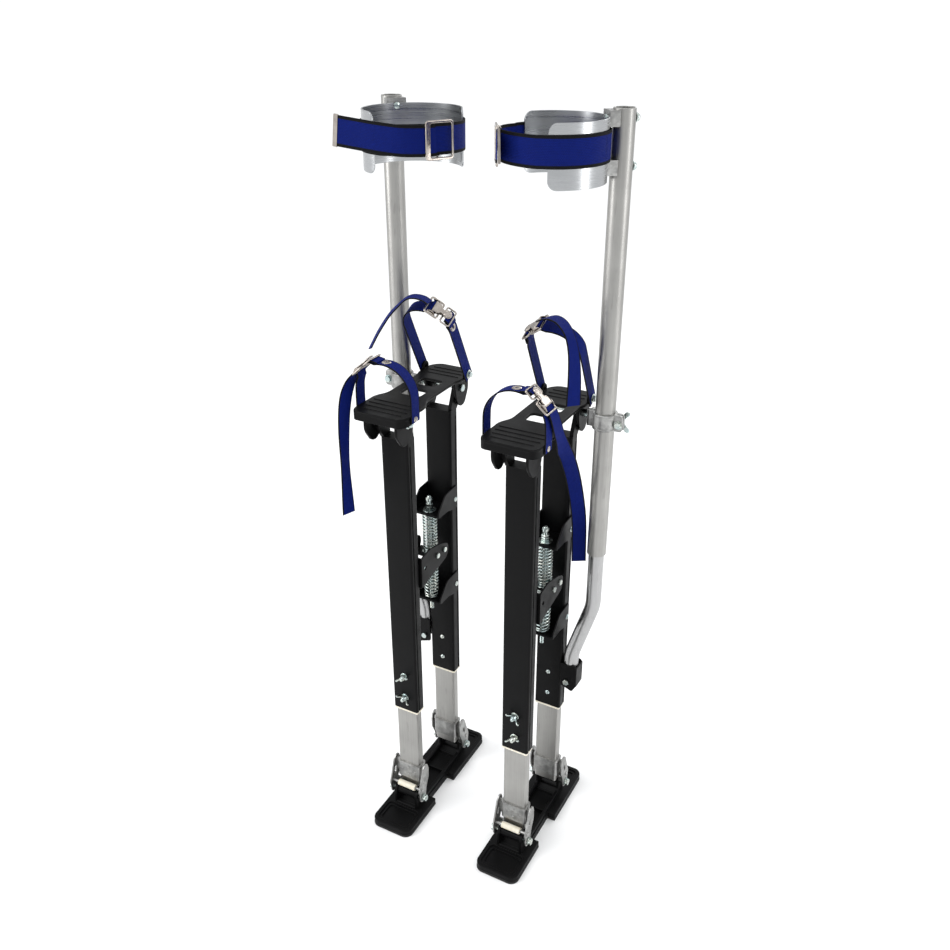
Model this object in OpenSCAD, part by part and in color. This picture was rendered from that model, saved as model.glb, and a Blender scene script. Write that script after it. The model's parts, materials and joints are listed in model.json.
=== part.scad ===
// A pair of drywall stilts with sprung parallelogram legs, at their lowest height setting.
// The stilts stand on z = 0, the toes point to -Y and the outer side of the left stilt is +X.
// Every sub-part is drawn for the left stilt about x = 0, then placed or mirrored.

/* [Pair] */
// Distance between the middles of the two stilts
stance = 240; // [230:5:300]

/* [Floor plate] */
// Length of a floor plate
floor_l = 330; // [320:2:350]
// Width of a floor plate
floor_w = 90; // [86:1:100]
// Half width of the narrow waist
waist_hw = 29; // [28:0.5:31]
// Thickness of the rubber sole
sole_t = 5; // [4:0.5:6]
// Thickness of the cast plate
slab_t = 11; // [10:0.5:12]

/* [Linkage] */
// Half of the distance between the front and the rear pivots
pivot_y = 90; // [89:0.5:92]
// Height of the lower pivots
ankle_z = 46; // [44:0.5:48]
// Height of the shoe plate's top at the lowest setting
shoe_z = 914; // [910:1:920]
// Height of the shoe plate's top above the upper pivots
plate_rise = 24; // [22:0.5:26]
// Radius of every pivot bolt
bolt_r = 4; // [3.5:0.1:4.2]
// Radial running clearance round a pivot bolt
run_gap = 0.07; // [0.03:0.01:0.1]

/* [Legs] */
// Width of a black strut
strut_w = 54; // [53:0.5:55]
// Depth of a black strut
strut_d = 26; // [25:0.5:27]
// Distance from the middle of the stilt to the middle of a strut
leg_y = 73.5; // [73:0.5:74]
// Height of the struts' lower ends
strut_z0 = 261; // [250:1:265]
// Height of the struts' upper ends
strut_z1 = 852; // [850:1:855]
// Wall of a strut
strut_wall = 2.4; // [2.2:0.1:2.6]
// Gap between a strut and the tube inside it, filled by a nylon liner
liner_gap = 1.2; // [0.8:0.1:1.4]
// How far the struts slide up at the highest setting
height_travel = 356; // [200:4:356]

/* [Springs] */
// Distance from the middle of the stilt to the spring rod
rod_y = 24; // [23:0.5:25]
// Height of the upper spring bracket's shelf
shelf_hi = 656; // [654:1:662]
// Height of the lower spring bracket's shelf
shelf_lo = 464; // [460:1:468]
// Height of the lever's tongue
tongue_z = 564; // [560:1:568]
// Middle radius of a spring's coil
coil_r = 13; // [12:0.1:13.5]
// Diameter of the spring wire
wire_d = 3; // [2.6:0.1:3.2]
// Turns in each spring
coil_turns = 11; // [9:1:12]

/* [Leg tube] */
// Distance of the leg tube's axis from the middle of the stilt, sideways
tube_x = 80; // [79:0.5:82]
// Distance of the leg tube's axis behind the middle of the stilt
tube_y = 71; // [70:0.5:72]
// Outer radius of the outer tube
tube_r = 17; // [16.5:0.1:17.5]
// Outer radius of the inner tube
inner_r = 14; // [13.5:0.1:14.2]
// Height of the outer tube's top
tube_z1 = 1384; // [1380:1:1390]
// Height of the outer tube's lower end
tube_z0 = 633; // [625:1:640]
// Height of the clamp's middle
clamp_z = 893; // [891:0.5:895]

/* [Leg band] */
// Inner radius of the band round the calf
band_r = 76; // [74:0.5:76]
// Thickness of the band
band_t = 2.5; // [2:0.1:2.6]
// Height of the band's lower edge
band_z0 = 1284; // [1280:1:1286]
// Height of the band
band_h = 90; // [86:1:92]

/* [Straps] */
// Width of the foot straps
foot_strap_w = 25; // [22:0.5:26]
// Thickness of the webbing
web_t = 2.4; // [2:0.1:2.6]
// Width of the leg strap
leg_strap_w = 44; // [40:0.5:45]

/* [Hidden] */

$fn = 48;

// Colours
black = "#1b1b1c";
alu = "#b9bbba";
zinc = "#a9b0af";
rubber = "#202020";
blue = "#1b2a7a";
nickel = "#b5aca3";

// Bolts: washers, heads and how far a shank falls short of its hole
washer_t = 1.6;
washer_r = 8;
head_r = 7;
head_t = 4.9;
shank_gap = 0.02;

// Floor plate
notch_front = -55;
notch_rear = 20;
pad_r = 15;
slab_z = sole_t + slab_t;
tray_rim = 9;
tray_depth = 3;
rib_w = 6;
rib_x = 24;
rib_top = 27;
lug_r = 12;

// Ankle bracket
ear_x = 33;
ear_t = 3;
ear_r = 11;
sleeve_z0 = 79;
sleeve_z1 = 117;
sleeve_t = 3;
roller_z = 66;
roller_y = 93;

// Legs
pivot_z = shoe_z - plate_rise;
inner_w = strut_w - 2 * strut_wall - 2 * liner_gap;
inner_d = strut_d - 2 * strut_wall - 2 * liner_gap;
inner_wall = 2;
lower_tube_z0 = 62;
lower_tube_z1 = 790;
wing_z = [292, 342.8];
slot_z0 = wing_z[0] - 12;
slot_z1 = wing_z[1] + height_travel + 12;
clevis_ear_x = 20;
clevis_ear_t = 7;

// Springs: thickness of the shelves, of the lever's tongue and of the washers beside it
shelf_t = 4;
shelf_front = 7;
tongue_t = 4;
tongue_l = 30;
seat_t = 2;
seat_r = 16;
seat_gap = 0.3;
// Space between a spring's end and what it presses on
spring_gap = 0.2;
lever_x = 29;
lever_t = 3;

// Inner leg tube: its foot, its two bends and its top
foot_x = 43;
foot_z0 = 345;
bend_r = 100;
bend_a = 16.7;
bend_z = 520;
bend_swell = 0.2;
bend_lap = 2;
inner_top = 833;
clamp_h = 29;

// Shoe plate
plate_t = 5;
lug_x = 28;
lug_t = 5;
toe_y = -136;
heel_y = 128;
arm_gap = 16;

// Straps
toe_strap_y = -100;
toe_arch_hw = 53.6;
toe_arch_h = 84;
toe_foot_z = shoe_z - 4;
instep_lean = 27;
instep_y = 92;
instep_z = 918;
instep_arch_hw = 46.6;
instep_arch_h = 158;
strap_end = 3;
toe_buckle_a = 48;
instep_buckle_a = 128;
toe_rivet_a = 100;
instep_rivet_a = 176;
// Heights above the strap of a buckle's frame, of its lever and of a rivet
frame_lift = 4;
lever_lift = 8.4;
rivet_lift = 1.3;
lever_hinge = 12;
// Routes of the foot straps' free tails, and the direction of a toe tail's width at each point
right_toe_tail = [[48, -102, 974.5], [56, -106, 966], [62, -118, 950], [64, -130, 925],
                  [63, -140, 880], [61, -146, 810], [59, -148, 722]];
right_toe_turn = [90, 96, 120, 145, 130, 85, 115];
right_instep_tail = [[32, 12, 1062], [46, -10, 1050], [55, -34, 1020], [60, -52, 996]];
left_toe_tail = [[48, -98, 974.5], [56, -92, 962], [59, -82, 938], [58, -64, 908],
                 [55, -42, 880], [50, -10, 848], [48, 28, 785], [48, 58, 700], [48, 68, 608]];
left_toe_turn = [90, 88, 86, 84, 66, 40, 28, 28, 28];
left_instep_tail = [[32, 8, 1062], [50, -10, 1040], [58, -16, 990], [60, -20, 950]];

// Leg band and leg strap
band_from = -72;
band_sweep = 222;
calf_y = 5;
strap_r = band_r + band_t + 0.8;
leg_strap_z = 1314;
slide_buckle_a = -150;
// Routes of the leg straps' free tails
right_leg_tail = [[-62, -55, 1333], [-32, -78, 1334], [0, -86, 1336], [40, -90, 1336],
                  [78, -95, 1332]];
left_leg_tail = [[-64, -55, 1333], [-52, -76, 1335], [-40, -90, 1338]];
mount_angle = atan2(tube_y - calf_y, tube_x);
mount_dist = norm([tube_x, tube_y - calf_y]);
mount_z = [1302, 1370];

// ---------- helpers ----------

module left() {
    translate([stance / 2, 0, 0]) children();
}

module right() {
    mirror([1, 0, 0]) translate([stance / 2, 0, 0]) children();
}

// The rear copy of a part that is drawn for the front leg
module rear() {
    mirror([0, 1, 0]) children();
}

module round_rect(w, d, r) {
    square([w - 2 * r, d], center = true);
    square([w, d - 2 * r], center = true);
    for (sx = [-1, 1], sy = [-1, 1])
        translate([sx * (w / 2 - r), sy * (d / 2 - r)]) circle(r);
}

// A bar along X from x0 to x1
module bar_x(x0, x1, r) {
    translate([x0, 0, 0]) rotate([0, 90, 0]) cylinder(h = x1 - x0, r = r);
}

// A bar along Y from y0 to y1
module bar_y(y0, y1, r) {
    translate([0, y0, 0]) rotate([-90, 0, 0]) cylinder(h = y1 - y0, r = r);
}

// A hexagon head or nut along X
module hex_x(x0, x1, r) {
    translate([x0, 0, 0]) rotate([0, 90, 0]) cylinder(h = x1 - x0, r = r, $fn = 6);
}

module hex_y(y0, y1, r) {
    translate([0, y0, 0]) rotate([-90, 0, 0]) cylinder(h = y1 - y0, r = r, $fn = 6);
}

// A plate in the Y-Z plane, from x0 to x1, drawn as 2-D points (y, z)
module side_plate(x0, x1) {
    translate([x0, 0, 0]) rotate([90, 0, 90]) linear_extrude(x1 - x0) children();
}

// A plate in the X-Z plane, from y0 to y1, drawn as 2-D points (x, z)
module front_plate(y0, y1) {
    translate([0, y1, 0]) rotate([90, 0, 0]) linear_extrude(y1 - y0) children();
}

// A plate in the Y-Z plane on both sides, its inner face x from the middle
module both_sides(x, t) {
    side_plate(x, x + t) children();
    side_plate(-x - t, -x) children();
}

// A band of webbing along points, with one direction for its width or one for each point
function unit(v) = v / norm(v);
function tangent(p, i) =
    unit(p[min(i + 1, len(p) - 1)] - p[max(i - 1, 0)]);
function ribbon_ring(c, t, wide, w, thick) =
    let (n = unit(cross(t, wide)) * thick / 2, s = unit(wide) * w / 2)
    [c - s - n, c + s - n, c + s + n, c - s + n];

function wide_at(wide, i) = is_list(wide[0]) ? wide[i] : wide;
function turned(angles) = [for (a = angles) [cos(a), sin(a), 0]];

module ribbon(p, wide, w, thick) {
    rings = [
        for (i = [0:len(p) - 1])
            each ribbon_ring(p[i], tangent(p, i), wide_at(wide, i), w, thick)
    ];
    last = 4 * (len(p) - 1);
    walls = [
        for (i = [0:len(p) - 2], k = [0:3])
            let (a = 4 * i + k, b = 4 * i + (k + 1) % 4)
            each [[a, b + 4, b], [a, a + 4, b + 4]]
    ];
    caps = [[0, 1, 2], [0, 2, 3], [last, last + 2, last + 1], [last, last + 3, last + 2]];
    polyhedron(rings, concat(walls, caps));
}

// Points of an arch: straight legs and a half-round top, in the X-Z plane
function arch(hw, h, steps) = concat(
    [[hw, 0, 0], [hw, 0, (h - hw) / 2]],
    [for (i = [0:steps]) let (a = 180 * i / steps) [hw * cos(a), 0, h - hw + hw * sin(a)]],
    [[-hw, 0, (h - hw) / 2], [-hw, 0, 0]]
);
function arch_at(hw, h, a) = [hw * cos(a), 0, h - hw + hw * sin(a)];

// ---------- floor plate ----------

// One pad: its outer corners are round and its inner edge is straight
module pad_outline(y_out, y_in) {
    mid = (y_out + y_in) / 2;
    depth = abs(y_out - y_in);
    translate([0, mid]) round_rect(floor_w, depth, pad_r);
    translate([0, (mid + y_in) / 2]) square([floor_w, depth / 2], center = true);
}

module floor_outline() {
    pad_outline(-floor_l / 2, notch_front);
    pad_outline(floor_l / 2, notch_rear);
    translate([-waist_hw, notch_front - 1]) square([2 * waist_hw, notch_rear - notch_front + 2]);
}

// The stepped tray sunk in the top of a pad
module tray(y0, y1) {
    w = floor_w - 2 * tray_rim;
    translate([0, (y0 + y1) / 2, slab_z - tray_depth]) difference() {
        linear_extrude(tray_depth + 1) round_rect(w, y1 - y0, 8);
        translate([0, 0, -1])
            linear_extrude(tray_depth - 0.2) round_rect(w - 16, y1 - y0 - 16, 5);
    }
}

module floor_plate() {
    rib_l = 2 * (pivot_y + 8);
    color(black) difference() {
        union() {
            translate([0, 0, sole_t]) linear_extrude(slab_t) floor_outline();
            for (s = [-1, 1])
                translate([s * rib_x - rib_w / 2, -rib_l / 2, sole_t + 1])
                    cube([rib_w, rib_l, rib_top - sole_t - 1]);
            for (s = [-1, 1], e = [-1, 1])
                translate([0, e * pivot_y, 0]) {
                    translate([s * rib_x, 0, ankle_z]) bar_x(-rib_w / 2, rib_w / 2, lug_r);
                    translate([s * rib_x - rib_w / 2, -lug_r, sole_t + 1])
                        cube([rib_w, 2 * lug_r, ankle_z - sole_t - 1]);
                }
        }
        translate([-rib_x + rib_w / 2, -pivot_y + 16, sole_t + 3])
            cube([2 * rib_x - rib_w, 2 * pivot_y - 32, rib_top]);
        tray(-floor_l / 2 + tray_rim, -pivot_y - lug_r - 4);
        tray(pivot_y + lug_r + 4, floor_l / 2 - tray_rim);
        for (e = [-1, 1])
            translate([0, e * pivot_y, ankle_z]) bar_x(-rib_x - rib_w, rib_x + rib_w, bolt_r);
    }
}

module rubber_sole() {
    color(rubber) linear_extrude(sole_t) floor_outline();
}

module rubber_soles() {
    left() rubber_sole();
    right() rubber_sole();
}

// A washer on each side, whose inner face is x from the middle
module washer_pair(x, r) {
    for (s = [-1, 1]) translate([s > 0 ? x : -x - washer_t, 0, 0]) bar_x(0, washer_t, r);
}

// Bolt, washers, head and nut of one lower pivot
module floor_pivot_bolt() {
    out = ear_x + ear_t + 0.4;
    color(zinc) {
        bar_x(-out - 9, out + 8, bolt_r - shank_gap);
        washer_pair(out, washer_r);
        hex_x(out + washer_t, out + washer_t + head_t, head_r);
        hex_x(-out - 7, -out - washer_t, head_r);
    }
}

module floor_pivot_bolts() {
    for (e = [-1, 1]) {
        left() translate([0, e * pivot_y, ankle_z]) floor_pivot_bolt();
        right() translate([0, e * pivot_y, ankle_z]) floor_pivot_bolt();
    }
}

// ---------- lower legs ----------

module lower_tube() {
    h = lower_tube_z1 - lower_tube_z0;
    color(alu) translate([0, -leg_y, 0]) difference() {
        translate([0, 0, lower_tube_z0]) difference() {
            linear_extrude(h) round_rect(inner_w, inner_d, 5);
            translate([0, 0, -1]) linear_extrude(h + 2)
                round_rect(inner_w - 2 * inner_wall, inner_d - 2 * inner_wall, 3);
        }
        // The slot that the clamp bolts run in
        translate([-bolt_r - 0.4, -inner_d, slot_z0])
            cube([2 * bolt_r + 0.8, 2 * inner_d, slot_z1 - slot_z0]);
    }
}

module ear_outline() {
    difference() {
        union() {
            translate([-pivot_y, ankle_z]) circle(ear_r);
            polygon([
                [-66, sleeve_z1 - 8], [-72, sleeve_z1 + 4], [-80, sleeve_z1 + 5],
                [-87, sleeve_z1 - 3], [-104, roller_z], [-101, ankle_z], [-79, ankle_z],
                [-76, roller_z], [-66, sleeve_z0 + 6]
            ]);
        }
        translate([-pivot_y, ankle_z]) circle(bolt_r + run_gap);
        translate([-84, 88]) rotate(-12) round_rect(5, 15, 2.4);
    }
}

module ankle_bracket() {
    sleeve_w = inner_w + 2 * sleeve_t;
    sleeve_d = inner_d + 2 * sleeve_t;
    front_y = -leg_y - sleeve_d / 2;
    color(zinc) {
        translate([0, -leg_y, sleeve_z0]) difference() {
            linear_extrude(sleeve_z1 - sleeve_z0) round_rect(sleeve_w, sleeve_d, 6);
            translate([0, 0, -1]) linear_extrude(sleeve_z1 - sleeve_z0 + 2)
                round_rect(inner_w + 0.1, inner_d + 0.1, 5);
        }
        // Flanges that carry the ears out from the sleeve
        for (s = [-1, 1])
            translate([s * (sleeve_w / 2 + ear_x) / 2, front_y + 9, (sleeve_z0 + sleeve_z1) / 2])
                cube([ear_x - sleeve_w / 2 + 2, 3, sleeve_z1 - sleeve_z0 - 4], center = true);
        both_sides(ear_x, ear_t) ear_outline();
        // Roller pin and the rivets in the sleeve
        translate([0, -roller_y, roller_z]) bar_x(-ear_x - ear_t - 1, ear_x + ear_t + 1, 3);
        for (z = [sleeve_z0 + 10, sleeve_z1 - 11])
            translate([0, 0, z]) bar_y(front_y - 1.2, front_y + 0.5, 3);
    }
}

// ---------- struts ----------

// The black tube with a groove down each side and the clevis in its top
module strut() {
    iw = strut_w - 2 * strut_wall;
    id = strut_d - 2 * strut_wall;
    color(black) difference() {
        union() {
            translate([0, -leg_y, strut_z0]) linear_extrude(strut_z1 - strut_z0)
                round_rect(strut_w, strut_d, 4);
            both_sides(clevis_ear_x, clevis_ear_t) {
                translate([-pivot_y, pivot_z]) circle(11);
                polygon([
                    [-pivot_y - 11, pivot_z], [-pivot_y + 11, pivot_z],
                    [-leg_y + 8, strut_z1 + 6], [-leg_y + 8, strut_z1 - 1],
                    [-leg_y - 12, strut_z1 - 1], [-pivot_y - 10, strut_z1 + 22]
                ]);
            }
        }
        translate([0, -leg_y, strut_z0 - 1]) linear_extrude(strut_z1 - strut_z0 - 24)
            round_rect(iw, id, 2);
        for (s = [-1, 1])
            translate([s * strut_w / 2, -leg_y - strut_d / 2 + 8, strut_z0 - 1])
                translate([-1.2, -2, 0]) cube([2.4, 4, strut_z1 - strut_z0 - 12]);
        translate([0, -pivot_y, pivot_z]) bar_x(-strut_w, strut_w, bolt_r + run_gap);
        for (z = wing_z) translate([0, 0, z]) bar_y(-leg_y - strut_d, -leg_y + strut_d, bolt_r);
    }
}

// A bolt through the strut: wing nut on the outer face, round head on the inner face
module wing_bolt(z) {
    face = -leg_y - strut_d / 2;
    back = -leg_y + strut_d / 2;
    translate([0, 0, z]) {
        bar_y(face - 14, back + 3, bolt_r - 0.05);
        bar_y(back, back + 2.6, 7);
        translate([0, face - 1.5, 0]) bar_y(0, 1.5, 8);
        translate([0, face - 8.5, 0]) bar_y(0, 7, 6);
        for (s = [-1, 1])
            translate([s * 4, face - 6.5, 0]) rotate([90, s * 28, 0])
                translate([s * 7, 0, -1.5]) linear_extrude(10) round_rect(13, 3, 1.4);
    }
}

module wing_bolts() {
    color(zinc) for (z = wing_z) wing_bolt(z);
}

// Two gussets bolted behind the front strut, with a tongue that the rod passes through
module spring_lever() {
    back = -leg_y + strut_d / 2;
    out = lever_x + lever_t;
    color(black) difference() {
        union() {
            translate([-out, back, 541]) cube([2 * out, 3.5, 65]);
            both_sides(lever_x, lever_t) polygon([
                [back, 606], [-30, 612], [10, 602], [34, 592], [38, 580], [30, 562],
                [0, 556], [-34, 550], [back, 540]
            ]);
            translate([-lever_x - 1, rod_y - 17, tongue_z])
                cube([2 * lever_x + 2, tongue_l, tongue_t]);
        }
        translate([-bolt_r - 1, rod_y - 9, tongue_z - 1])
            cube([2 * bolt_r + 2, 15, tongue_t + 2]);
    }
    color(zinc) for (s = [-1, 1], y = [-5, 21])
        translate([0, y, 584]) hex_x(s > 0 ? out : -out - 3.5, s > 0 ? out + 3.5 : -out, 5.5);
}

// ---------- spring unit on the rear strut ----------

// A shelf on two side flanges that hug the strut
module spring_bracket(z) {
    face = leg_y - strut_d / 2;
    translate([0, 0, z]) {
        difference() {
            translate([-strut_w / 2 - 1, shelf_front, 0])
                cube([strut_w + 2, face - shelf_front, shelf_t]);
            translate([0, rod_y, -1]) cylinder(h = shelf_t + 2, r = bolt_r + 0.05);
        }
        both_sides(strut_w / 2 + 0.05, 2.5) difference() {
            polygon([
                [shelf_front, 0], [shelf_front, 9], [face - 25, 38], [face + 18, 40],
                [face + 18, -6], [face, -6], [face - 20, 0]
            ]);
            translate([face + 10, 12]) circle(3.2);
        }
    }
}

// The three brackets on the rear strut: two shelves for the springs and the tube's foot
module strut_brackets() {
    color(black) {
        spring_bracket(shelf_hi);
        spring_bracket(shelf_lo);
    }
    tube_foot_bracket();
}

module spring_rod() {
    nut_r = 7.5;
    color(zinc) translate([0, rod_y, 0]) {
        translate([0, 0, shelf_lo - 26]) cylinder(h = shelf_hi - shelf_lo + 62, r = bolt_r);
        translate([0, 0, shelf_hi + shelf_t]) cylinder(h = seat_t, r = 13);
        translate([0, 0, shelf_hi + shelf_t + seat_t]) cylinder(h = 7, r = nut_r, $fn = 6);
        translate([0, 0, shelf_hi + 14]) cylinder(h = 5, r = nut_r, $fn = 6);
        translate([0, 0, shelf_lo - 8]) cylinder(h = 7, r = nut_r, $fn = 6);
    }
}

// A coil of wire between two heights, with its ends brought close
function coil_point(u, z0, z1) =
    let (lift = u < 0.09 ? u * 0.35 : u > 0.91 ? 1 - (1 - u) * 0.35
              : 0.0315 + (u - 0.09) * 0.937 / 0.82)
    [coil_r * cos(360 * coil_turns * u), coil_r * sin(360 * coil_turns * u),
     z0 + (z1 - z0) * lift];

module spring(z0, z1) {
    steps = coil_turns * 12;
    sides = 6;
    wr = wire_d / 2;
    pts = [
        for (i = [0:steps], k = [0:sides - 1])
            let (u = i / steps, c = coil_point(u, z0 + wr, z1 - wr), a = 360 * coil_turns * u,
                 b = 360 * k / sides)
            c + wr * [cos(a) * cos(b), sin(a) * cos(b), sin(b)]
    ];
    walls = [
        for (i = [0:steps - 1], k = [0:sides - 1])
            let (a = sides * i + k, b = sides * i + (k + 1) % sides)
            each [[a, b, a + sides], [b, b + sides, a + sides]]
    ];
    first = [[for (k = [sides - 1:-1:0]) k]];
    last = [[for (k = [0:sides - 1]) sides * steps + k]];
    translate([0, rod_y, 0]) polyhedron(pts, concat(walls, first, last));
}

module upper_spring() {
    color(zinc) spring(tongue_z + tongue_t + seat_gap + seat_t + spring_gap, shelf_hi - spring_gap);
}

module lower_spring() {
    color(zinc) spring(shelf_lo + shelf_t + spring_gap, tongue_z - seat_gap - seat_t - spring_gap);
}

// Two washers that slide on the rod, one above and one below the lever's tongue
module spring_seats() {
    color(zinc) for (z = [tongue_z + tongue_t + seat_gap, tongue_z - seat_gap - seat_t])
        translate([0, rod_y, z]) difference() {
            cylinder(h = seat_t, r = seat_r);
            translate([0, 0, -1]) cylinder(h = seat_t + 2, r = bolt_r + 0.08);
        }
}

// ---------- leg tube ----------

// A straight stretch from z0 to z1
module pipe(z0, z1) {
    translate([0, 0, z0]) difference() {
        cylinder(h = z1 - z0, r = inner_r);
        translate([0, 0, -1]) cylinder(h = z1 - z0 + 2, r = inner_r - inner_wall);
    }
}

// A bend that starts at the origin going down and turns towards -X; it swells slightly
module pipe_bend() {
    translate([-bend_r, 0, 0]) rotate([90, 0, 0]) rotate([0, 0, -bend_a])
        rotate_extrude(angle = bend_a) translate([bend_r, 0]) difference() {
            circle(inner_r + bend_swell);
            circle(inner_r - inner_wall - bend_swell);
        }
}

module inner_leg_tube() {
    run = (tube_x - foot_x) / sin(bend_a);
    tan_l = bend_r * tan(bend_a / 2);
    upper_z = bend_z + tan_l;
    lower_z = bend_z - run * cos(bend_a) - tan_l;
    color(alu) {
        translate([tube_x, tube_y, 0]) pipe(upper_z - bend_lap, inner_top);
        translate([tube_x, tube_y, upper_z]) pipe_bend();
        translate([tube_x, tube_y, bend_z]) rotate([0, bend_a, 0])
            pipe(tan_l - run - bend_lap, bend_lap - tan_l);
        translate([foot_x, tube_y, lower_z]) rotate([0, 180, 0]) pipe_bend();
        translate([foot_x, tube_y, 0]) pipe(foot_z0, lower_z + bend_lap);
    }
}

module outer_leg_tube() {
    color(alu) translate([tube_x, tube_y, tube_z0]) difference() {
        cylinder(h = tube_z1 - tube_z0, r = tube_r);
        translate([0, 0, -1]) cylinder(h = tube_z1 - tube_z0 + 2, r = inner_r + 0.08);
        for (z = mount_z)
            translate([0, 0, z - tube_z0]) rotate([0, 0, mount_angle]) bar_x(-30, 30, 3.1);
    }
}

// The box at the strut's lower end that holds the inner tube's foot, with its bolt
module tube_foot_bracket() {
    color(black) difference() {
        front_plate(58, 87) polygon([
            [strut_w / 2 + 0.05, 377], [strut_w / 2 + 0.05, 325], [52, 316], [60, 330], [60, 371]
        ]);
        translate([foot_x, tube_y, foot_z0]) cylinder(h = 60, r = inner_r + 0.02);
    }
    color(zinc) translate([36, 0, 334]) {
        hex_y(53.5, 58, 6.5);
        hex_y(87, 91, 6.5);
    }
}

module tube_clamp() {
    h = clamp_h;
    ring_r = tube_r + 4;
    arm_x = lug_x + lug_t + arm_gap;
    color(alu) difference() {
        union() {
            translate([tube_x, tube_y, clamp_z - h / 2]) cylinder(h = h, r = ring_r);
            // Ears that the clamp bolt pulls together
            translate([tube_x + tube_r, tube_y - 7, clamp_z - h / 2]) cube([15, 14, h]);
            // Arm to the rear upper pivot
            translate([arm_x, tube_y - 4, clamp_z - h / 2]) cube([tube_x - arm_x, 8, h]);
            side_plate(arm_x, arm_x + 4) {
                translate([pivot_y, pivot_z]) circle(13);
                translate([tube_y - 4, clamp_z - h / 2]) square([pivot_y - tube_y, h]);
            }
        }
        translate([tube_x, tube_y, clamp_z - h]) cylinder(h = 2 * h, r = tube_r + 0.06);
        translate([tube_x + 5, tube_y - 1.6, clamp_z - h]) cube([60, 3.2, 2 * h]);
        translate([0, pivot_y, pivot_z]) bar_x(0, 100, bolt_r + run_gap);
    }
    color(zinc) translate([tube_x + tube_r + 9, tube_y, clamp_z - 2]) {
        bar_y(-16, 20, 3);
        hex_y(-12, -7, 6.5);
        bar_y(7, 13, 6);
        // Wings that stand up and down from the nut
        for (up = [0, 1])
            translate([0, 11.5, 0]) mirror([0, 0, up]) translate([0, 0, 4])
                rotate([90, 0, 0]) linear_extrude(3)
                    polygon([[-4, 0], [4, 0], [8, 8], [14, 14], [13, 19], [7, 19], [0, 11]]);
    }
}

module rear_strut_bolts() {
    rear() color(zinc) for (z = wing_z) wing_bolt(z);
}

// ---------- shoe plate ----------

module shoe_plate_outline() {
    polygon([
        [-44, toe_y], [44, toe_y], [52, toe_y + 12], [52, -62], [40, -40], [40, 58],
        [45, 70], [45, heel_y - 16], [30, heel_y], [-30, heel_y], [-45, heel_y - 16],
        [-45, 70], [-40, 58], [-40, -40], [-52, -62], [-52, toe_y + 12]
    ]);
}

module plate_lugs() {
    both_sides(lug_x, lug_t) {
        polygon([
            [-126, shoe_z - 2], [-126, 874], [-108, 853], [-96, 851], [-78, 864], [-68, shoe_z - 2]
        ]);
        polygon([
            [118, shoe_z - 2], [118, 880], [104, 855], [90, 855], [76, 866], [66, shoe_z - 2]
        ]);
    }
}

module shoe_plate() {
    lip = 17;
    color(black) difference() {
        union() {
            translate([0, 0, shoe_z - plate_t]) linear_extrude(plate_t) shoe_plate_outline();
            // Lip turned down round the toe
            translate([0, 0, shoe_z - lip]) linear_extrude(lip - 1) difference() {
                polygon([[-44, toe_y], [44, toe_y], [52, toe_y + 12], [52, toe_y + 34],
                         [-52, toe_y + 34], [-52, toe_y + 12]]);
                polygon([[-41, toe_y + 4], [41, toe_y + 4], [47.5, toe_y + 14],
                         [47.5, toe_y + 40], [-47.5, toe_y + 40], [-47.5, toe_y + 14]]);
            }
            plate_lugs();
            // Ears that carry the instep strap's bolts
            both_sides(41, 4) {
                translate([instep_y, instep_z]) circle(10);
                translate([instep_y - 14, shoe_z - plate_t]) square([28, 8]);
            }
        }
        for (e = [-1, 1]) translate([0, e * pivot_y, pivot_z]) bar_x(-80, 80, bolt_r);
        translate([0, instep_y, instep_z]) bar_x(-80, 80, 3);
        // Two long openings in the middle of the plate
        for (y = [-18, 34]) translate([0, y, shoe_z - 10]) linear_extrude(20)
            round_rect(40, 30, 6);
    }
}

module shoe_plate_bolts() {
    x = lug_x + lug_t;
    arm_out = x + arm_gap + 4.4;
    color(zinc) {
        translate([0, -pivot_y, pivot_z]) {
            bar_x(-x - 8, x + 8, bolt_r - shank_gap);
            washer_pair(x, 9.5);
            hex_x(x + washer_t, x + washer_t + head_t, head_r);
            hex_x(-x - washer_t - head_t, -x - washer_t, head_r);
        }
        translate([0, pivot_y, pivot_z]) {
            bar_x(-x, arm_out + 8, bolt_r - shank_gap);
            // Spacer between the lug and the clamp's arm
            bar_x(x + 0.05, x + arm_gap - 0.4, head_r);
            translate([arm_out, 0, 0]) bar_x(0, washer_t, 9);
            hex_x(arm_out + washer_t, arm_out + washer_t + head_t, head_r);
        }
        for (s = [-1, 1]) translate([0, instep_y, instep_z]) {
            bar_x(s > 0 ? 41 : -52, s > 0 ? 52 : -41, 2.95);
            bar_x(s > 0 ? 48 : -50, s > 0 ? 50 : -48, 8);
            hex_x(s > 0 ? 50 : -54, s > 0 ? 54 : -50, 5.5);
        }
    }
}

// ---------- straps ----------

// Places children in the plane of the instep strap's arch
module instep_plane() {
    translate([0, instep_y, instep_z]) rotate([instep_lean, 0, 0]) children();
}

module foot_straps(toe_tail, toe_turn, instep_tail) {
    y_axis = [0, 1, 0];
    color(blue) {
        translate([0, toe_strap_y, toe_foot_z])
            ribbon(arch(toe_arch_hw, toe_arch_h, 12), y_axis, foot_strap_w, web_t);
        instep_plane() translate([0, 0, -strap_end])
            ribbon(arch(instep_arch_hw, instep_arch_h, 12), y_axis, foot_strap_w, web_t);
        ribbon(toe_tail, turned(toe_turn), foot_strap_w, web_t);
        ribbon(instep_tail, y_axis, foot_strap_w, web_t);
    }
}

// A buckle's open frame: the strap runs through it along X
module buckle_frame(l, w, r) {
    difference() {
        translate([0, 0, -r]) linear_extrude(2 * r) round_rect(l, w, 4);
        translate([0, 0, -r - 1]) linear_extrude(2 * r + 2) round_rect(l - 4 * r, w - 4 * r, 2);
    }
}

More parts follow.
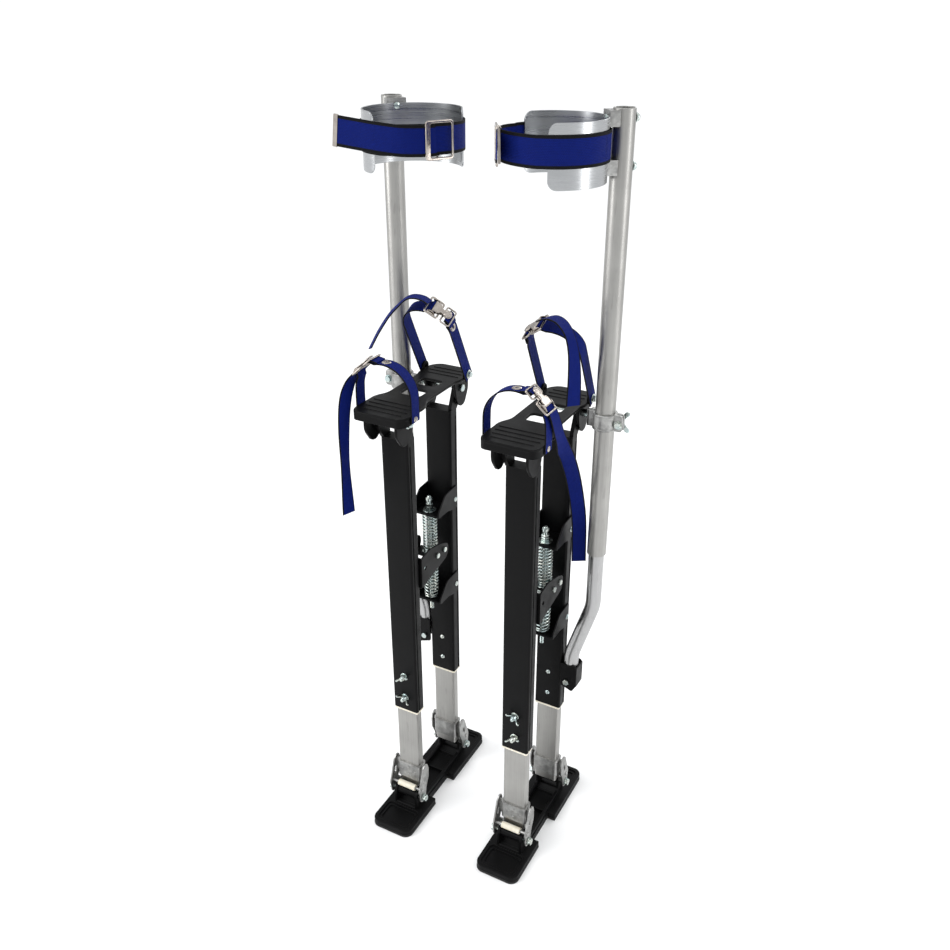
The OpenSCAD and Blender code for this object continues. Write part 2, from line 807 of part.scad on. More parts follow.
// The hinged cam lever, its hinge along Y and its thumb pad towards -X
module buckle_lever() {
    translate([lever_hinge, 0, 0]) {
        bar_y(-11, 11, 2.2);
        linear_extrude(1.6) {
            translate([-7, 0]) round_rect(14, 20, 3);
            translate([-15, 0]) round_rect(16, 9, 3);
            translate([-25, 0]) circle(8);
        }
    }
}

module on_toe_arch(a, lift) {
    p = arch_at(toe_arch_hw + lift, toe_arch_h + lift, a);
    translate([p[0], toe_strap_y, toe_foot_z + p[2]]) rotate([0, 90 - a, 0]) children();
}

module on_instep_arch(a, lift) {
    p = arch_at(instep_arch_hw + lift, instep_arch_h + lift, a);
    instep_plane() translate([p[0], 0, p[2] - strap_end]) rotate([0, 90 - a, 0]) children();
}

module strap_buckles() {
    color(nickel) {
        on_toe_arch(toe_buckle_a, frame_lift) buckle_frame(40, 34, 1.6);
        on_instep_arch(instep_buckle_a, frame_lift) buckle_frame(40, 34, 1.6);
        on_toe_arch(toe_rivet_a, rivet_lift) cylinder(h = 2, r = 8);
        on_instep_arch(instep_rivet_a, rivet_lift) cylinder(h = 2, r = 8);
    }
}

module toe_buckle_lever() {
    color(nickel) on_toe_arch(toe_buckle_a, lever_lift) buckle_lever();
}

module instep_buckle_lever() {
    color(nickel) on_instep_arch(instep_buckle_a, lever_lift) buckle_lever();
}

// ---------- leg band ----------

module leg_band() {
    color(alu) translate([0, calf_y, band_z0]) rotate([0, 0, band_from])
        rotate_extrude(angle = band_sweep, $fn = 96)
            translate([band_r, 0]) square([band_t, band_h]);
}

module leg_band_brackets() {
    h = 22;
    back = band_r + band_t + 0.05;
    color(alu) for (z = mount_z) difference() {
        translate([0, calf_y, z - h / 2]) rotate([0, 0, mount_angle])
            translate([back - 3, -16, 0]) cube([mount_dist - tube_r - back + 9, 32, h]);
        translate([0, calf_y, z - h]) cylinder(h = 2 * h, r = back, $fn = 96);
        translate([tube_x, tube_y, z - h]) cylinder(h = 2 * h, r = tube_r + 0.05);
        translate([0, calf_y, z]) rotate([0, 0, mount_angle]) bar_x(50, 120, 3.05);
    }
}

module leg_band_bolts() {
    out = mount_dist + tube_r;
    color(zinc) for (z = mount_z)
        translate([0, calf_y, z]) rotate([0, 0, mount_angle]) {
            bar_x(band_r + band_t + 0.1, out + 6, 3);
            bar_x(out, out + 1.5, 7.5);
            hex_x(out + 1.5, out + 6, 6);
        }
}

// The loop of the leg strap, outside the band and round the front, and its free tail
module leg_strap(tail) {
    color(blue) {
        translate([0, calf_y, leg_strap_z]) difference() {
            cylinder(h = leg_strap_w, r = strap_r + web_t, $fn = 96);
            translate([0, 0, -1]) cylinder(h = leg_strap_w + 2, r = strap_r, $fn = 96);
        }
        ribbon(tail, [0, 0, 1], leg_strap_w, web_t);
    }
}

module leg_strap_buckle() {
    color(nickel) translate([0, calf_y, leg_strap_z + leg_strap_w / 2])
        rotate([0, 0, slide_buckle_a]) translate([strap_r + web_t + 2.2, 0, 0]) rotate([0, 90, 0])
            buckle_frame(56, 48, 1.8);
}

// ---------- nodes ----------

left() floor_plate();  // left_floor_plate
right() floor_plate();  // right_floor_plate
rubber_soles();
floor_pivot_bolts();

left() lower_tube();  // left_front_lower_tube
left() ankle_bracket();  // left_front_ankle_bracket
left() rear() lower_tube();  // left_rear_lower_tube
left() rear() ankle_bracket();  // left_rear_ankle_bracket
left() strut();  // left_front_strut
left() wing_bolts();  // left_front_wing_bolts
left() spring_lever();  // left_spring_lever
left() rear() strut();  // left_rear_strut
left() rear_strut_bolts();  // left_rear_strut_bolts
left() strut_brackets();  // left_strut_brackets
left() spring_rod();  // left_spring_rod
left() spring_seats();  // left_spring_seats
left() upper_spring();  // left_upper_spring
left() lower_spring();  // left_lower_spring
left() inner_leg_tube();  // left_inner_leg_tube
left() tube_clamp();  // left_tube_clamp
left() shoe_plate();  // left_shoe_plate
left() shoe_plate_bolts();  // left_shoe_plate_bolts
left()  // left_foot_straps
    foot_straps(left_toe_tail, left_toe_turn, left_instep_tail);
left() strap_buckles();  // left_strap_buckles
left() toe_buckle_lever();  // left_toe_buckle_lever
left() instep_buckle_lever();  // left_instep_buckle_lever
left() outer_leg_tube();  // left_outer_leg_tube
left() leg_band();  // left_leg_band
left() leg_band_brackets();  // left_leg_band_brackets
left() leg_band_bolts();  // left_leg_band_bolts
left() leg_strap(left_leg_tail);  // left_leg_strap
left() leg_strap_buckle();  // left_leg_strap_buckle

right() lower_tube();  // right_front_lower_tube
right() ankle_bracket();  // right_front_ankle_bracket
right() rear() lower_tube();  // right_rear_lower_tube
right() rear() ankle_bracket();  // right_rear_ankle_bracket
right() strut();  // right_front_strut
right() wing_bolts();  // right_front_wing_bolts
right() spring_lever();  // right_spring_lever
right() rear() strut();  // right_rear_strut
right() rear_strut_bolts();  // right_rear_strut_bolts
right() strut_brackets();  // right_strut_brackets
right() spring_rod();  // right_spring_rod
right() spring_seats();  // right_spring_seats
right() upper_spring();  // right_upper_spring
right() lower_spring();  // right_lower_spring
right() inner_leg_tube();  // right_inner_leg_tube
right() tube_clamp();  // right_tube_clamp
right() shoe_plate();  // right_shoe_plate
right() shoe_plate_bolts();  // right_shoe_plate_bolts
right()  // right_foot_straps
    foot_straps(right_toe_tail, right_toe_turn, right_instep_tail);
right() strap_buckles();  // right_strap_buckles
right() toe_buckle_lever();  // right_toe_buckle_lever
right() instep_buckle_lever();  // right_instep_buckle_lever
right() outer_leg_tube();  // right_outer_leg_tube
right() leg_band();  // right_leg_band
right() leg_band_brackets();  // right_leg_band_brackets
right() leg_band_bolts();  // right_leg_band_bolts
right() leg_strap(right_leg_tail);  // right_leg_strap
right() leg_strap_buckle();  // right_leg_strap_buckle
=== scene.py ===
"""The looks of a pair of drywall stilts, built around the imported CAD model.

Pieces are drawn in millimetres in a stilt's own axes: u points outward from the middle of
the stilt, v points to the heel and z points up. piece() places them on the left or the right.
"""

import json
from math import asin, cos, pi, radians, sin, sqrt

import bmesh
import bpy
from mathutils import Matrix, Vector

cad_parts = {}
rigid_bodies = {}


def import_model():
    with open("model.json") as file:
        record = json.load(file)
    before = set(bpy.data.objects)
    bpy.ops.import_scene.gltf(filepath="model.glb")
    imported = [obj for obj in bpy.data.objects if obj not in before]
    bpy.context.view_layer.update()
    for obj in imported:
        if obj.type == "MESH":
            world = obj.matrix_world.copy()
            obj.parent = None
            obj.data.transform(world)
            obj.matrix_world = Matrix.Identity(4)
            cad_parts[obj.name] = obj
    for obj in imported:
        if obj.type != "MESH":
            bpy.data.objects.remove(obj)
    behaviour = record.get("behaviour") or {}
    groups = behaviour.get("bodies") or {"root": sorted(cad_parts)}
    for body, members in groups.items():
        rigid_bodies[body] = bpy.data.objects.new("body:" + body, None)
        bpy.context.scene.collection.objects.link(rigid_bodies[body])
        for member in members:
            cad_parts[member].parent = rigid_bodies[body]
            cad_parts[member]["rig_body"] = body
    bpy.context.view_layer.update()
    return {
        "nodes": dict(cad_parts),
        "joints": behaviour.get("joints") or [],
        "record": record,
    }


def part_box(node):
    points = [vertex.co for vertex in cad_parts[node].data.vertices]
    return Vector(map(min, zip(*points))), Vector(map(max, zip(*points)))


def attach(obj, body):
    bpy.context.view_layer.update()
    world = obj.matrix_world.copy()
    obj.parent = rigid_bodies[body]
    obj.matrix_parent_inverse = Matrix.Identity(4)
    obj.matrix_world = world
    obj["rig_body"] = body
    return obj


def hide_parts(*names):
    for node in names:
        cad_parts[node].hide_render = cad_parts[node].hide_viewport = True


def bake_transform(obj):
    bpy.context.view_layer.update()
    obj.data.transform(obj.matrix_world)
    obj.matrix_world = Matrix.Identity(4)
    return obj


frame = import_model()

# ---------- sizes taken from the frame, in millimetres ----------

MM = 0.001
SIDES = {"left": 1, "right": -1}
JOINTS = {j["name"]: j for j in frame["joints"]}
STANCE = JOINTS["left_sway"]["pos_m"][0] / MM
ANKLE_Z = JOINTS["left_sway"]["pos_m"][2] / MM
UPPER_Z = JOINTS["left_footrest_level"]["pos_m"][2] / MM
HEIGHT_STEPS = 7
HOLE_PITCH = JOINTS["left_height"]["range_m"][1] / MM / HEIGHT_STEPS


def local_box(node):
    """Lowest and highest corner of a left CAD node in the stilt's own axes, in millimetres."""
    low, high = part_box("left_" + node)
    shift = Vector((STANCE, 0, 0))
    return low / MM - shift, high / MM - shift


SPRING_HI = local_box("upper_spring")
SPRING_LO = local_box("lower_spring")
SOLE_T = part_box("rubber_soles")[1].z / MM

# Other sizes and settings that many pieces share
PIVOT_HOLE_R, BOLT_R = 4.1, 3.9
SHARP_ANGLE = 38      # edges bent by more degrees than this are shaded as corners
SMALL_R = 2.0         # square corners up to this radius are drawn with fewer points

# Directions in a stilt's own axes
OUT, IN = (1, 0, 0), (-1, 0, 0)
BACK, FRONT = (0, 1, 0), (0, -1, 0)
UP, DOWN = (0, 0, 1), (0, 0, -1)

# ---------- points and outlines ----------


def arc(x, y, r, start, end, steps=8):
    """Points along an arc, in degrees."""
    angles = [radians(start + (end - start) * i / steps) for i in range(steps + 1)]
    return [(x + r * cos(a), y + r * sin(a)) for a in angles]


def round_rect(w, d, r, x=0.0, y=0.0):
    """A rounded rectangle about (x, y)."""
    a, b = w / 2 - r, d / 2 - r
    return (arc(x + a, y + b, r, 0, 90) + arc(x - a, y + b, r, 90, 180)
            + arc(x - a, y - b, r, 180, 270) + arc(x + a, y - b, r, 270, 360))


def circle(x, y, r):
    """A closed loop of points. Its last point isn't its first again."""
    sides = 24
    return arc(x, y, r, 0, 360 - 360 / sides, sides - 1)


def around(points, i):
    """Point i of a closed outline between the one before it and the one after it."""
    return [Vector(points[k % len(points)]) for k in (i - 1, i, i + 1)]


def eased_corner(points, i, r, share, steps):
    """A curve that rounds corner i. It takes up at most this share of either side."""
    before, p, after = around(points, i)
    to_a, to_b = before - p, after - p
    cut = min(r, to_a.length * share, to_b.length * share)
    a, b = p + to_a.normalized() * cut, p + to_b.normalized() * cut
    return [tuple((1 - t) ** 2 * a + 2 * t * (1 - t) * p + t ** 2 * b)
            for t in (k / steps for k in range(steps + 1))]


def rounded(points, r, steps=5):
    """A polygon with each corner turned into an arc of about radius r."""
    return [q for i in range(len(points)) for q in eased_corner(points, i, r, 0.45, steps)]


def rounded_from(points, first, r):
    """Rounds only the corners from index first on."""
    out = list(points[:first])
    for i in range(first, len(points)):
        out += eased_corner(points, i, r, 0.4, 3)
    return out


def square_cornered(points, radii):
    """A right-angled outline with an arc of its own radius at each corner."""
    out = []
    for i, r in enumerate(radii):
        before, p, after = around(points, i)
        a = p + (before - p).normalized() * r
        b = p + (after - p).normalized() * r
        centre = a + b - p
        steps = 8 if r > SMALL_R else 3
        for k in range(steps + 1):
            t = k / steps * pi / 2
            out.append(tuple(centre + (a - centre) * cos(t) + (b - centre) * sin(t)))
    return out


def mirrored(half):
    """The same points with the first coordinate turned over, in reverse order."""
    return [(-x, y) for x, y in half[::-1]]


def turned_loop(loop, angle):
    """A loop turned about its origin, in degrees."""
    a = radians(angle)
    return [(x * cos(a) - y * sin(a), x * sin(a) + y * cos(a)) for x, y in loop]


def grown(loop, by):
    """A loop of points moved along its normals: outward when by is above zero."""
    out = []
    n = len(loop)
    for i in range(n):
        a, b = Vector(loop[i - 1]), Vector(loop[(i + 1) % n])
        t = (b - a).normalized()
        out.append((loop[i][0] + t.y * by, loop[i][1] - t.x * by))
    return out


def smooth_path(points, steps):
    """A Catmull-Rom curve through points."""
    pts = [Vector(p) for p in points]
    out = []
    for i in range(len(pts) - 1):
        p1, p2 = pts[i], pts[i + 1]
        p0 = pts[i - 1] if i else p1 * 2 - p2
        p3 = pts[i + 2] if i + 2 < len(pts) else p2 * 2 - p1
        for k in range(steps):
            t = k / steps
            out.append(0.5 * (2 * p1 + (p2 - p0) * t + (2 * p0 - 5 * p1 + 4 * p2 - p3) * t * t
                              + (3 * p1 - p0 - 3 * p2 + p3) * t ** 3))
    return out + [pts[-1]]


def tangents(path, closed=False):
    """The unit direction of travel at each point."""
    n = len(path)
    out = []
    for i in range(n):
        a = path[i - 1] if i or closed else path[0]
        b = path[(i + 1) % n] if i < n - 1 or closed else path[-1]
        out.append((b - a).normalized())
    return out


# ---------- shapes: each is (points, faces, uvs) with uvs one per point, or None ----------


def tube_faces(rings, sides, closed):
    """The faces of a tube of rings of points, with flat ends unless it closes on itself."""
    faces = []
    for i in range(rings if closed else rings - 1):
        for k in range(sides):
            a, b = i * sides + k, i * sides + (k + 1) % sides
            c = ((i + 1) % rings) * sides
            faces.append((a, b, c + (k + 1) % sides, c + k))
    if not closed:
        faces.append(tuple(range(sides))[::-1])
        faces.append(tuple(range((rings - 1) * sides, rings * sides)))
    return faces


def wire(path, r, closed=False, sides=10):
    """A round wire along a path."""
    path = [Vector(p) for p in path]
    along = tangents(path, closed)
    side = along[0].orthogonal().normalized()
    points = []
    for p, t in zip(path, along):
        side = (side - t * side.dot(t)).normalized()
        other = t.cross(side)
        for k in range(sides):
            a = 2 * pi * k / sides
            points.append(p + side * (r * cos(a)) + other * (r * sin(a)))
    return points, tube_faces(len(path), sides, closed), None


def ribbon(path, across, width, thick, closed=False):
    """A flat strap along a path. across is its width direction at each point of the path.
    Its UVs are metres along and metres across, so that the weave keeps its scale."""
    path = [Vector(p) for p in path]
    along = tangents(path, closed)
    flats = 6
    section = [(-0.5 + i / flats, -0.5) for i in range(flats + 1)]
    section += [(0.5 + 0.3 * thick / width, 0)]
    section += [(0.5 - i / flats, 0.5) for i in range(flats + 1)]
    section += [(-0.5 - 0.3 * thick / width, 0)]
    points, uvs, run = [], [], 0.0
    for i, (p, t) in enumerate(zip(path, along)):
        if i:
            run += (p - path[i - 1]).length
        wide = Vector(across[i])
        wide = (wide - t * wide.dot(t)).normalized()
        face = t.cross(wide)
        for a, b in section:
            points.append(p + wide * (a * width) + face * (b * thick))
            uvs.append((run * MM, a * width * MM))
    return points, tube_faces(len(path), len(section), closed), uvs


def lathe(profile, origin, axis, sides=28):
    """A profile of (radius, height) turned about an axis. A radius of 0 closes it to a point."""
    axis = Vector(axis).normalized()
    x = axis.orthogonal().normalized()
    y = axis.cross(x)
    origin = Vector(origin)
    points, faces, rings = [], [], []
    for r, h in profile:
        centre = origin + axis * h
        if r < 1e-6:
            rings.append([len(points)])
            points.append(centre)
            continue
        rings.append(list(range(len(points), len(points) + sides)))
        for k in range(sides):
            a = 2 * pi * k / sides
            points.append(centre + x * (r * cos(a)) + y * (r * sin(a)))
    for lower, upper in zip(rings, rings[1:]):
        for k in range(sides):
            a, b = lower[k % len(lower)], lower[(k + 1) % len(lower)]
            c, d = upper[(k + 1) % len(upper)], upper[k % len(upper)]
            face = [a]
            for v in (b, c, d):
                if v not in face:
                    face.append(v)
            if len(face) > 2:
                faces.append(tuple(face))
    return points, faces, None


def washer(origin, axis, r, bore, thick):
    """A ring with chamfered outer edges that starts at origin."""
    edge = min(0.35, thick / 4)
    return lathe([(bore, 0), (r - edge, 0), (r, edge), (r, thick - edge), (r - edge, thick),
                  (bore, thick), (bore, 0)], origin, axis)


def hex_head(origin, axis, r, height, bore=0.0):
    """A hexagon head or nut whose corners are chamfered, with a low dome or a bore on top."""
    axis = Vector(axis).normalized()
    body = lathe([(0, 0), (r * 0.93, 0), (r, height * 0.12), (r, height * 0.82),
                  (r * 0.9, height), (0, height)], origin, axis, 6)
    ring = lathe([(r * 0.84, height - 0.05), (r * 0.8, height + 0.25), (bore, height + 0.3)],
                 origin, axis)
    return join(body, ring)


def bar(start, end, r, tip=0.6):
    """A round bar with chamfered ends."""
    start, end = Vector(start), Vector(end)
    length = (end - start).length
    return lathe([(0, 0), (r - tip, 0), (r, tip), (r, length - tip), (r - tip, length),
                  (0, length)], start, end - start, 20)


def slab(loops, thick, bevel, matrix):
    """A flat plate from 2-D loops, the first of them its outline and the rest its holes.
    It lies in the X-Y plane about z = 0 with round edges, and matrix puts it in place."""
    data = bpy.data.curves.new("loops", "CURVE")
    data.dimensions = "2D"
    data.fill_mode = "BOTH"
    data.extrude = thick / 2 - bevel
    data.bevel_depth = bevel
    data.bevel_resolution = 2
    data.offset = -bevel
    for loop in loops:
        spline = data.splines.new("POLY")
        spline.points.add(len(loop) - 1)
        spline.use_cyclic_u = True
        for point, xy in zip(spline.points, loop):
            point.co = (xy[0], xy[1], 0, 1)
    holder = bpy.data.objects.new("loops", data)
    bpy.context.scene.collection.objects.link(holder)
    mesh = bpy.data.meshes.new_from_object(
        holder.evaluated_get(bpy.context.evaluated_depsgraph_get()))
    points = [matrix @ v.co for v in mesh.vertices]
    faces = [tuple(p.vertices) for p in mesh.polygons]
    bpy.data.objects.remove(holder)
    bpy.data.meshes.remove(mesh)
    return points, faces, None


def join(*shapes):
    """Several shapes as one."""
    points, faces, uvs = [], [], []
    has_uvs = any(s[2] for s in shapes)
    for p, f, t in shapes:
        n = len(points)
        points += p
        faces += [tuple(i + n for i in face) for face in f]
        uvs += t if t else [(0, 0)] * len(p)
    return points, faces, uvs if has_uvs else None


def plane(origin, x_axis, y_axis):
    """The matrix that puts the X-Y plane at origin with these two directions."""
    x = Vector(x_axis).normalized()
    y = Vector(y_axis)
    y = (y - x * y.dot(x)).normalized()
    z = x.cross(y)
    m = Matrix((x, y, z)).transposed().to_4x4()
    return Matrix.Translation(origin) @ m


SIDE_PLANE = (BACK, UP)       # 2-D points are (v, z)
FRONT_PLANE = (OUT, UP)       # 2-D points are (u, z)
FLOOR_PLANE = (OUT, BACK)     # 2-D points are (u, v)

# ---------- pieces ----------


def placed(side, points, rear=False):
    """Points in a stilt's own axes, as points of the scene in metres."""
    flip = -1 if rear else 1
    return [(SIDES[side] * (STANCE + p[0]) * MM, flip * p[1] * MM, p[2] * MM) for p in points]


def linked(name, data):
    """A new object in the scene."""
    made = bpy.data.objects.new(name, data)
    bpy.context.scene.collection.objects.link(made)
    return made


def shaded(mesh, material, sharp):
    """Gives a mesh its material, smooth shading and corners where it bends by more than sharp."""
    mesh.materials.append(material)
    mesh.shade_smooth()
    mesh.set_sharp_from_angle(angle=radians(sharp))


def finish_mesh(name, points, faces, uvs, material, sharp):
    """An object from points in metres. Faces that are already there are left out."""
    mesh = bpy.data.meshes.new(name)
    bm = bmesh.new()
    verts = [bm.verts.new(p) for p in points]
    layer = bm.loops.layers.uv.new("UVMap") if uvs else None
    for face in faces:
        try:
            made = bm.faces.new([verts[i] for i in face])
        except ValueError:
            continue
        if layer:
            for loop, i in zip(made.loops, face):
                loop[layer].uv = uvs[i]
    if not uvs:
        bmesh.ops.remove_doubles(bm, verts=bm.verts, dist=1e-6)
    bmesh.ops.recalc_face_normals(bm, faces=bm.faces)
    bm.to_mesh(mesh)
    bm.free()
    shaded(mesh, material, sharp)
    return linked(name, mesh)


def piece(side, name, body, slot, *shapes, rear=False, replaces=(), sharp=SHARP_ANGLE):
    """Makes one visible piece from shapes in a stilt's own axes and lets it ride on a body."""
    points, faces, uvs = join(*shapes)
    made = finish_mesh(f"{side}_{name}", placed(side, points, rear), faces, uvs, MATERIALS[slot],
                       sharp)
    if not uvs:
        even = made.modifiers.new("normals", "WEIGHTED_NORMAL")
        even.keep_sharp = True
    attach(made, f"{side}_{body}" if body != "root" else "root")
    if replaces:
        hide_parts(*[f"{side}_{node}" for node in replaces])
    return made


def softened(node, width, slot=None):
    """A copy of a CAD node whose edges are rounded over, to stand for it."""
    source = frame["nodes"][node]
    slot = slot or SLOT_OF[node]
    bm = bmesh.new()
    bm.from_mesh(source.data)
    bmesh.ops.remove_doubles(bm, verts=bm.verts, dist=2e-6)
    bmesh.ops.dissolve_limit(bm, angle_limit=radians(0.5), verts=bm.verts, edges=bm.edges)
    mesh = bpy.data.meshes.new(node + "_soft")
    bm.to_mesh(mesh)
    bm.free()
    shaded(mesh, MATERIALS[slot], SHARP_ANGLE)
    made = linked(node + "_soft", mesh)
    rounding = made.modifiers.new("edges", "BEVEL")
    rounding.width = width * MM
    rounding.segments = 2
    rounding.limit_method = "ANGLE"
    rounding.angle_limit = radians(SHARP_ANGLE)
    rounding.harden_normals = True
    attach(made, source["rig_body"])
    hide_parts(node)


# ---------- materials ----------


class Graph:
    """A material's node tree, with short calls to add nodes and links."""

    def __init__(self, name):
        self.material = bpy.data.materials.new(name)
        self.material.use_nodes = True
        self.tree = self.material.node_tree
        self.shader = self.tree.nodes["Principled BSDF"]

    def add(self, kind, inputs=(), **settings):
        made = self.tree.nodes.new(kind)
        for key, value in settings.items():
            setattr(made, key, value)
        for key, value in dict(inputs).items():
            self.put(made, key, value)
        return made

    def put(self, target, key, value):
        """Gives an input a value, or a link if the value is another node's output."""
        socket = target.inputs[key]
        if isinstance(value, bpy.types.NodeSocket):
            self.tree.links.new(value, socket)
        else:
            socket.default_value = value

    def set(self, **values):
        """Inputs of the shader, with _ for each space in a name."""
        for key, value in values.items():
            self.put(self.shader, key.replace("_", " "), value)

    def place(self, scale=(1, 1, 1)):
        """Coordinates that stick to the piece, stretched by scale."""
        source = self.add("ShaderNodeTexCoord").outputs["Object"]
        return self.add("ShaderNodeMapping", {"Vector": source, "Scale": scale}).outputs[0]

    def noise(self, scale, detail=3.0, rough=0.55, stretch=(1, 1, 1)):
        made = self.add("ShaderNodeTexNoise", {"Vector": self.place(stretch), "Scale": scale,
                                               "Detail": detail, "Roughness": rough})
        return made.outputs["Fac"]

    def remap(self, value, low, high, start=0.3, end=0.7):
        """value, stretched so that start becomes low and end becomes high."""
        made = self.add("ShaderNodeMapRange", {"Value": value, "From Min": start,
                                               "From Max": end, "To Min": low, "To Max": high})
        return made.outputs[0]

    def math(self, operation, a, b=0.0):
        made = self.add("ShaderNodeMath", operation=operation)
        self.put(made, 0, a)
        self.put(made, 1, b)
        return made.outputs[0]

    def times(self, a, b):
        return self.math("MULTIPLY", a, b)

    def plus(self, a, b):
        return self.math("ADD", a, b)

    def mix(self, share, a, b):
        made = self.add("ShaderNodeMix", data_type="RGBA")
        made.inputs["Factor"].default_value = 0.0
        self.put(made, "Factor", share)
        self.put(made, "A", colour(a) if isinstance(a, tuple) else a)
        self.put(made, "B", colour(b) if isinstance(b, tuple) else b)
        return made.outputs["Result"]

    def bump(self, height, strength, distance):
        inputs = {"Height": height, "Strength": strength, "Distance": distance}
        return self.add("ShaderNodeBump", inputs).outputs[0]

    def edge(self, radius):
        """1 on an outer edge and 0 on a flat face."""
        bent = self.add("ShaderNodeBevel", {"Radius": radius}, samples=4).outputs[0]
        flat = self.add("ShaderNodeNewGeometry").outputs["Normal"]
        dot = self.add("ShaderNodeVectorMath", operation="DOT_PRODUCT")
        self.put(dot, 0, bent)
        self.put(dot, 1, flat)
        return self.remap(dot.outputs["Value"], 1.0, 0.0, 0.86, 0.99)


def colour(rgb):
    """A colour with full opacity."""
    return (*rgb, 1.0)


def painted(name, base, worn_and_highlit_edge, rough, grain=900.0, edge_wear_and_highlight=0.5):
    """Satin black coat over metal: fine texture, a little dust, and lighter edges that are partly
    chipped coat and partly a painted edge highlight.
    """
    g = Graph(name)
    dust = g.remap(g.noise(9.0, 5.0), 0.0, 0.22, 0.45, 0.75)
    # Edges lightened in noisy patches: chipped coat together with a painted highlight along the
    # edges.
    chips_and_edge_highlight = g.times(g.edge(0.0012), g.remap(g.noise(160.0, 4.0), 0.0, edge_wear_and_highlight))
    body = g.mix(dust, base, tuple(c * 1.9 for c in base))
    g.set(Base_Color=g.mix(chips_and_edge_highlight, body, worn_and_highlit_edge))
    g.set(Roughness=g.remap(g.noise(30.0, 5.0), rough - 0.07, rough + 0.09),
          Normal=g.bump(g.noise(grain, 2.0), 0.16, 0.0004))
    g.set(Specular_IOR_Level=0.1)
    return g.material


def drawn_metal(name, base, rough, streak=(420, 420, 5), marks=0.1):
    """Drawn or brushed aluminium: fine streaks along it, soft stains and a few scratches."""
    g = Graph(name)
    lines = g.noise(1.0, 3.0, 0.6, stretch=streak)
    stain = g.noise(14.0, 5.0)
    dark = tuple(c * (1 - 2.2 * marks) for c in base)
    scratch = g.noise(1.0, 1.0, 0.5, stretch=(streak[0] * 0.35, streak[1] * 0.35, 26))
    share = g.times(g.remap(stain, 0.0, 1.0), g.remap(lines, 0.35, 1.0))
    share = g.plus(share, g.remap(scratch, 0.0, 0.5, 0.63, 0.72))
    g.set(Base_Color=g.mix(share, base, dark), Metallic=1.0)
    g.set(Roughness=g.remap(lines, rough - 0.06, rough + 0.1), Normal=g.bump(lines, 0.05, 0.0002))
    return g.material


def plated(name, base, tint, rough, scale=60.0):
    """Zinc or nickel plate: bright, with a faint second tint."""
    g = Graph(name)
    patch = g.remap(g.noise(scale, 3.0), 0.0, 1.0, 0.4, 0.65)
    g.set(Base_Color=g.mix(patch, base, tint), Metallic=1.0,
          Roughness=g.remap(g.noise(scale * 3, 4.0), rough - 0.05, rough + 0.1),
          Normal=g.bump(g.noise(scale * 12, 2.0), 0.08, 0.0003))
    return g.material


def galvanised(name):
    """Pressed steel with a dull zinc coat: soft spangle and grey handling marks."""
    g = Graph(name)
    cells = g.add("ShaderNodeTexVoronoi", {"Vector": g.place(), "Scale": 190.0})
    spangle = g.add("ShaderNodeSeparateColor", {"Color": cells.outputs["Color"]}).outputs[0]
    marks = g.remap(g.noise(45.0, 6.0, 0.65), 0.0, 1.0, 0.42, 0.62)
    light = g.mix(g.remap(spangle, 0.0, 1.0, 0.0, 1.0), (0.34, 0.34, 0.33), (0.46, 0.46, 0.45))
    g.set(Base_Color=g.mix(marks, light, (0.24, 0.24, 0.235)), Metallic=1.0,
          Roughness=g.remap(spangle, 0.34, 0.5, 0.0, 1.0),
          Normal=g.bump(g.noise(300.0, 3.0), 0.2, 0.0004))
    return g.material


def rubber(name):
    """Moulded black rubber: matt, with grey dust in patches."""
    g = Graph(name)
    dust = g.remap(g.noise(22.0, 6.0), 0.0, 0.5, 0.45, 0.7)
    g.set(Base_Color=g.mix(dust, (0.006, 0.006, 0.006), (0.016, 0.0155, 0.015)),
          Roughness=g.remap(g.noise(40.0, 3.0), 0.62, 0.82),
          Normal=g.bump(g.noise(700.0, 3.0), 0.35, 0.0005))
    return g.material


def nylon(name):
    """Cream nylon that light gets a little way into."""
    g = Graph(name)
    tone = g.remap(g.noise(120.0, 4.0), 0.0, 1.0, 0.35, 0.7)
    g.set(Base_Color=g.mix(tone, (0.77, 0.73, 0.62), (0.66, 0.61, 0.49)),
          Roughness=g.remap(g.noise(200.0), 0.36, 0.5),
          Normal=g.bump(g.noise(500.0), 0.1, 0.0003))
    g.set(Subsurface_Weight=0.15, Subsurface_Radius=(0.004, 0.003, 0.002),
          Subsurface_Scale=0.5)
    return g.material


YARN_PITCH, RIB_PITCH = 0.0021, 0.0026


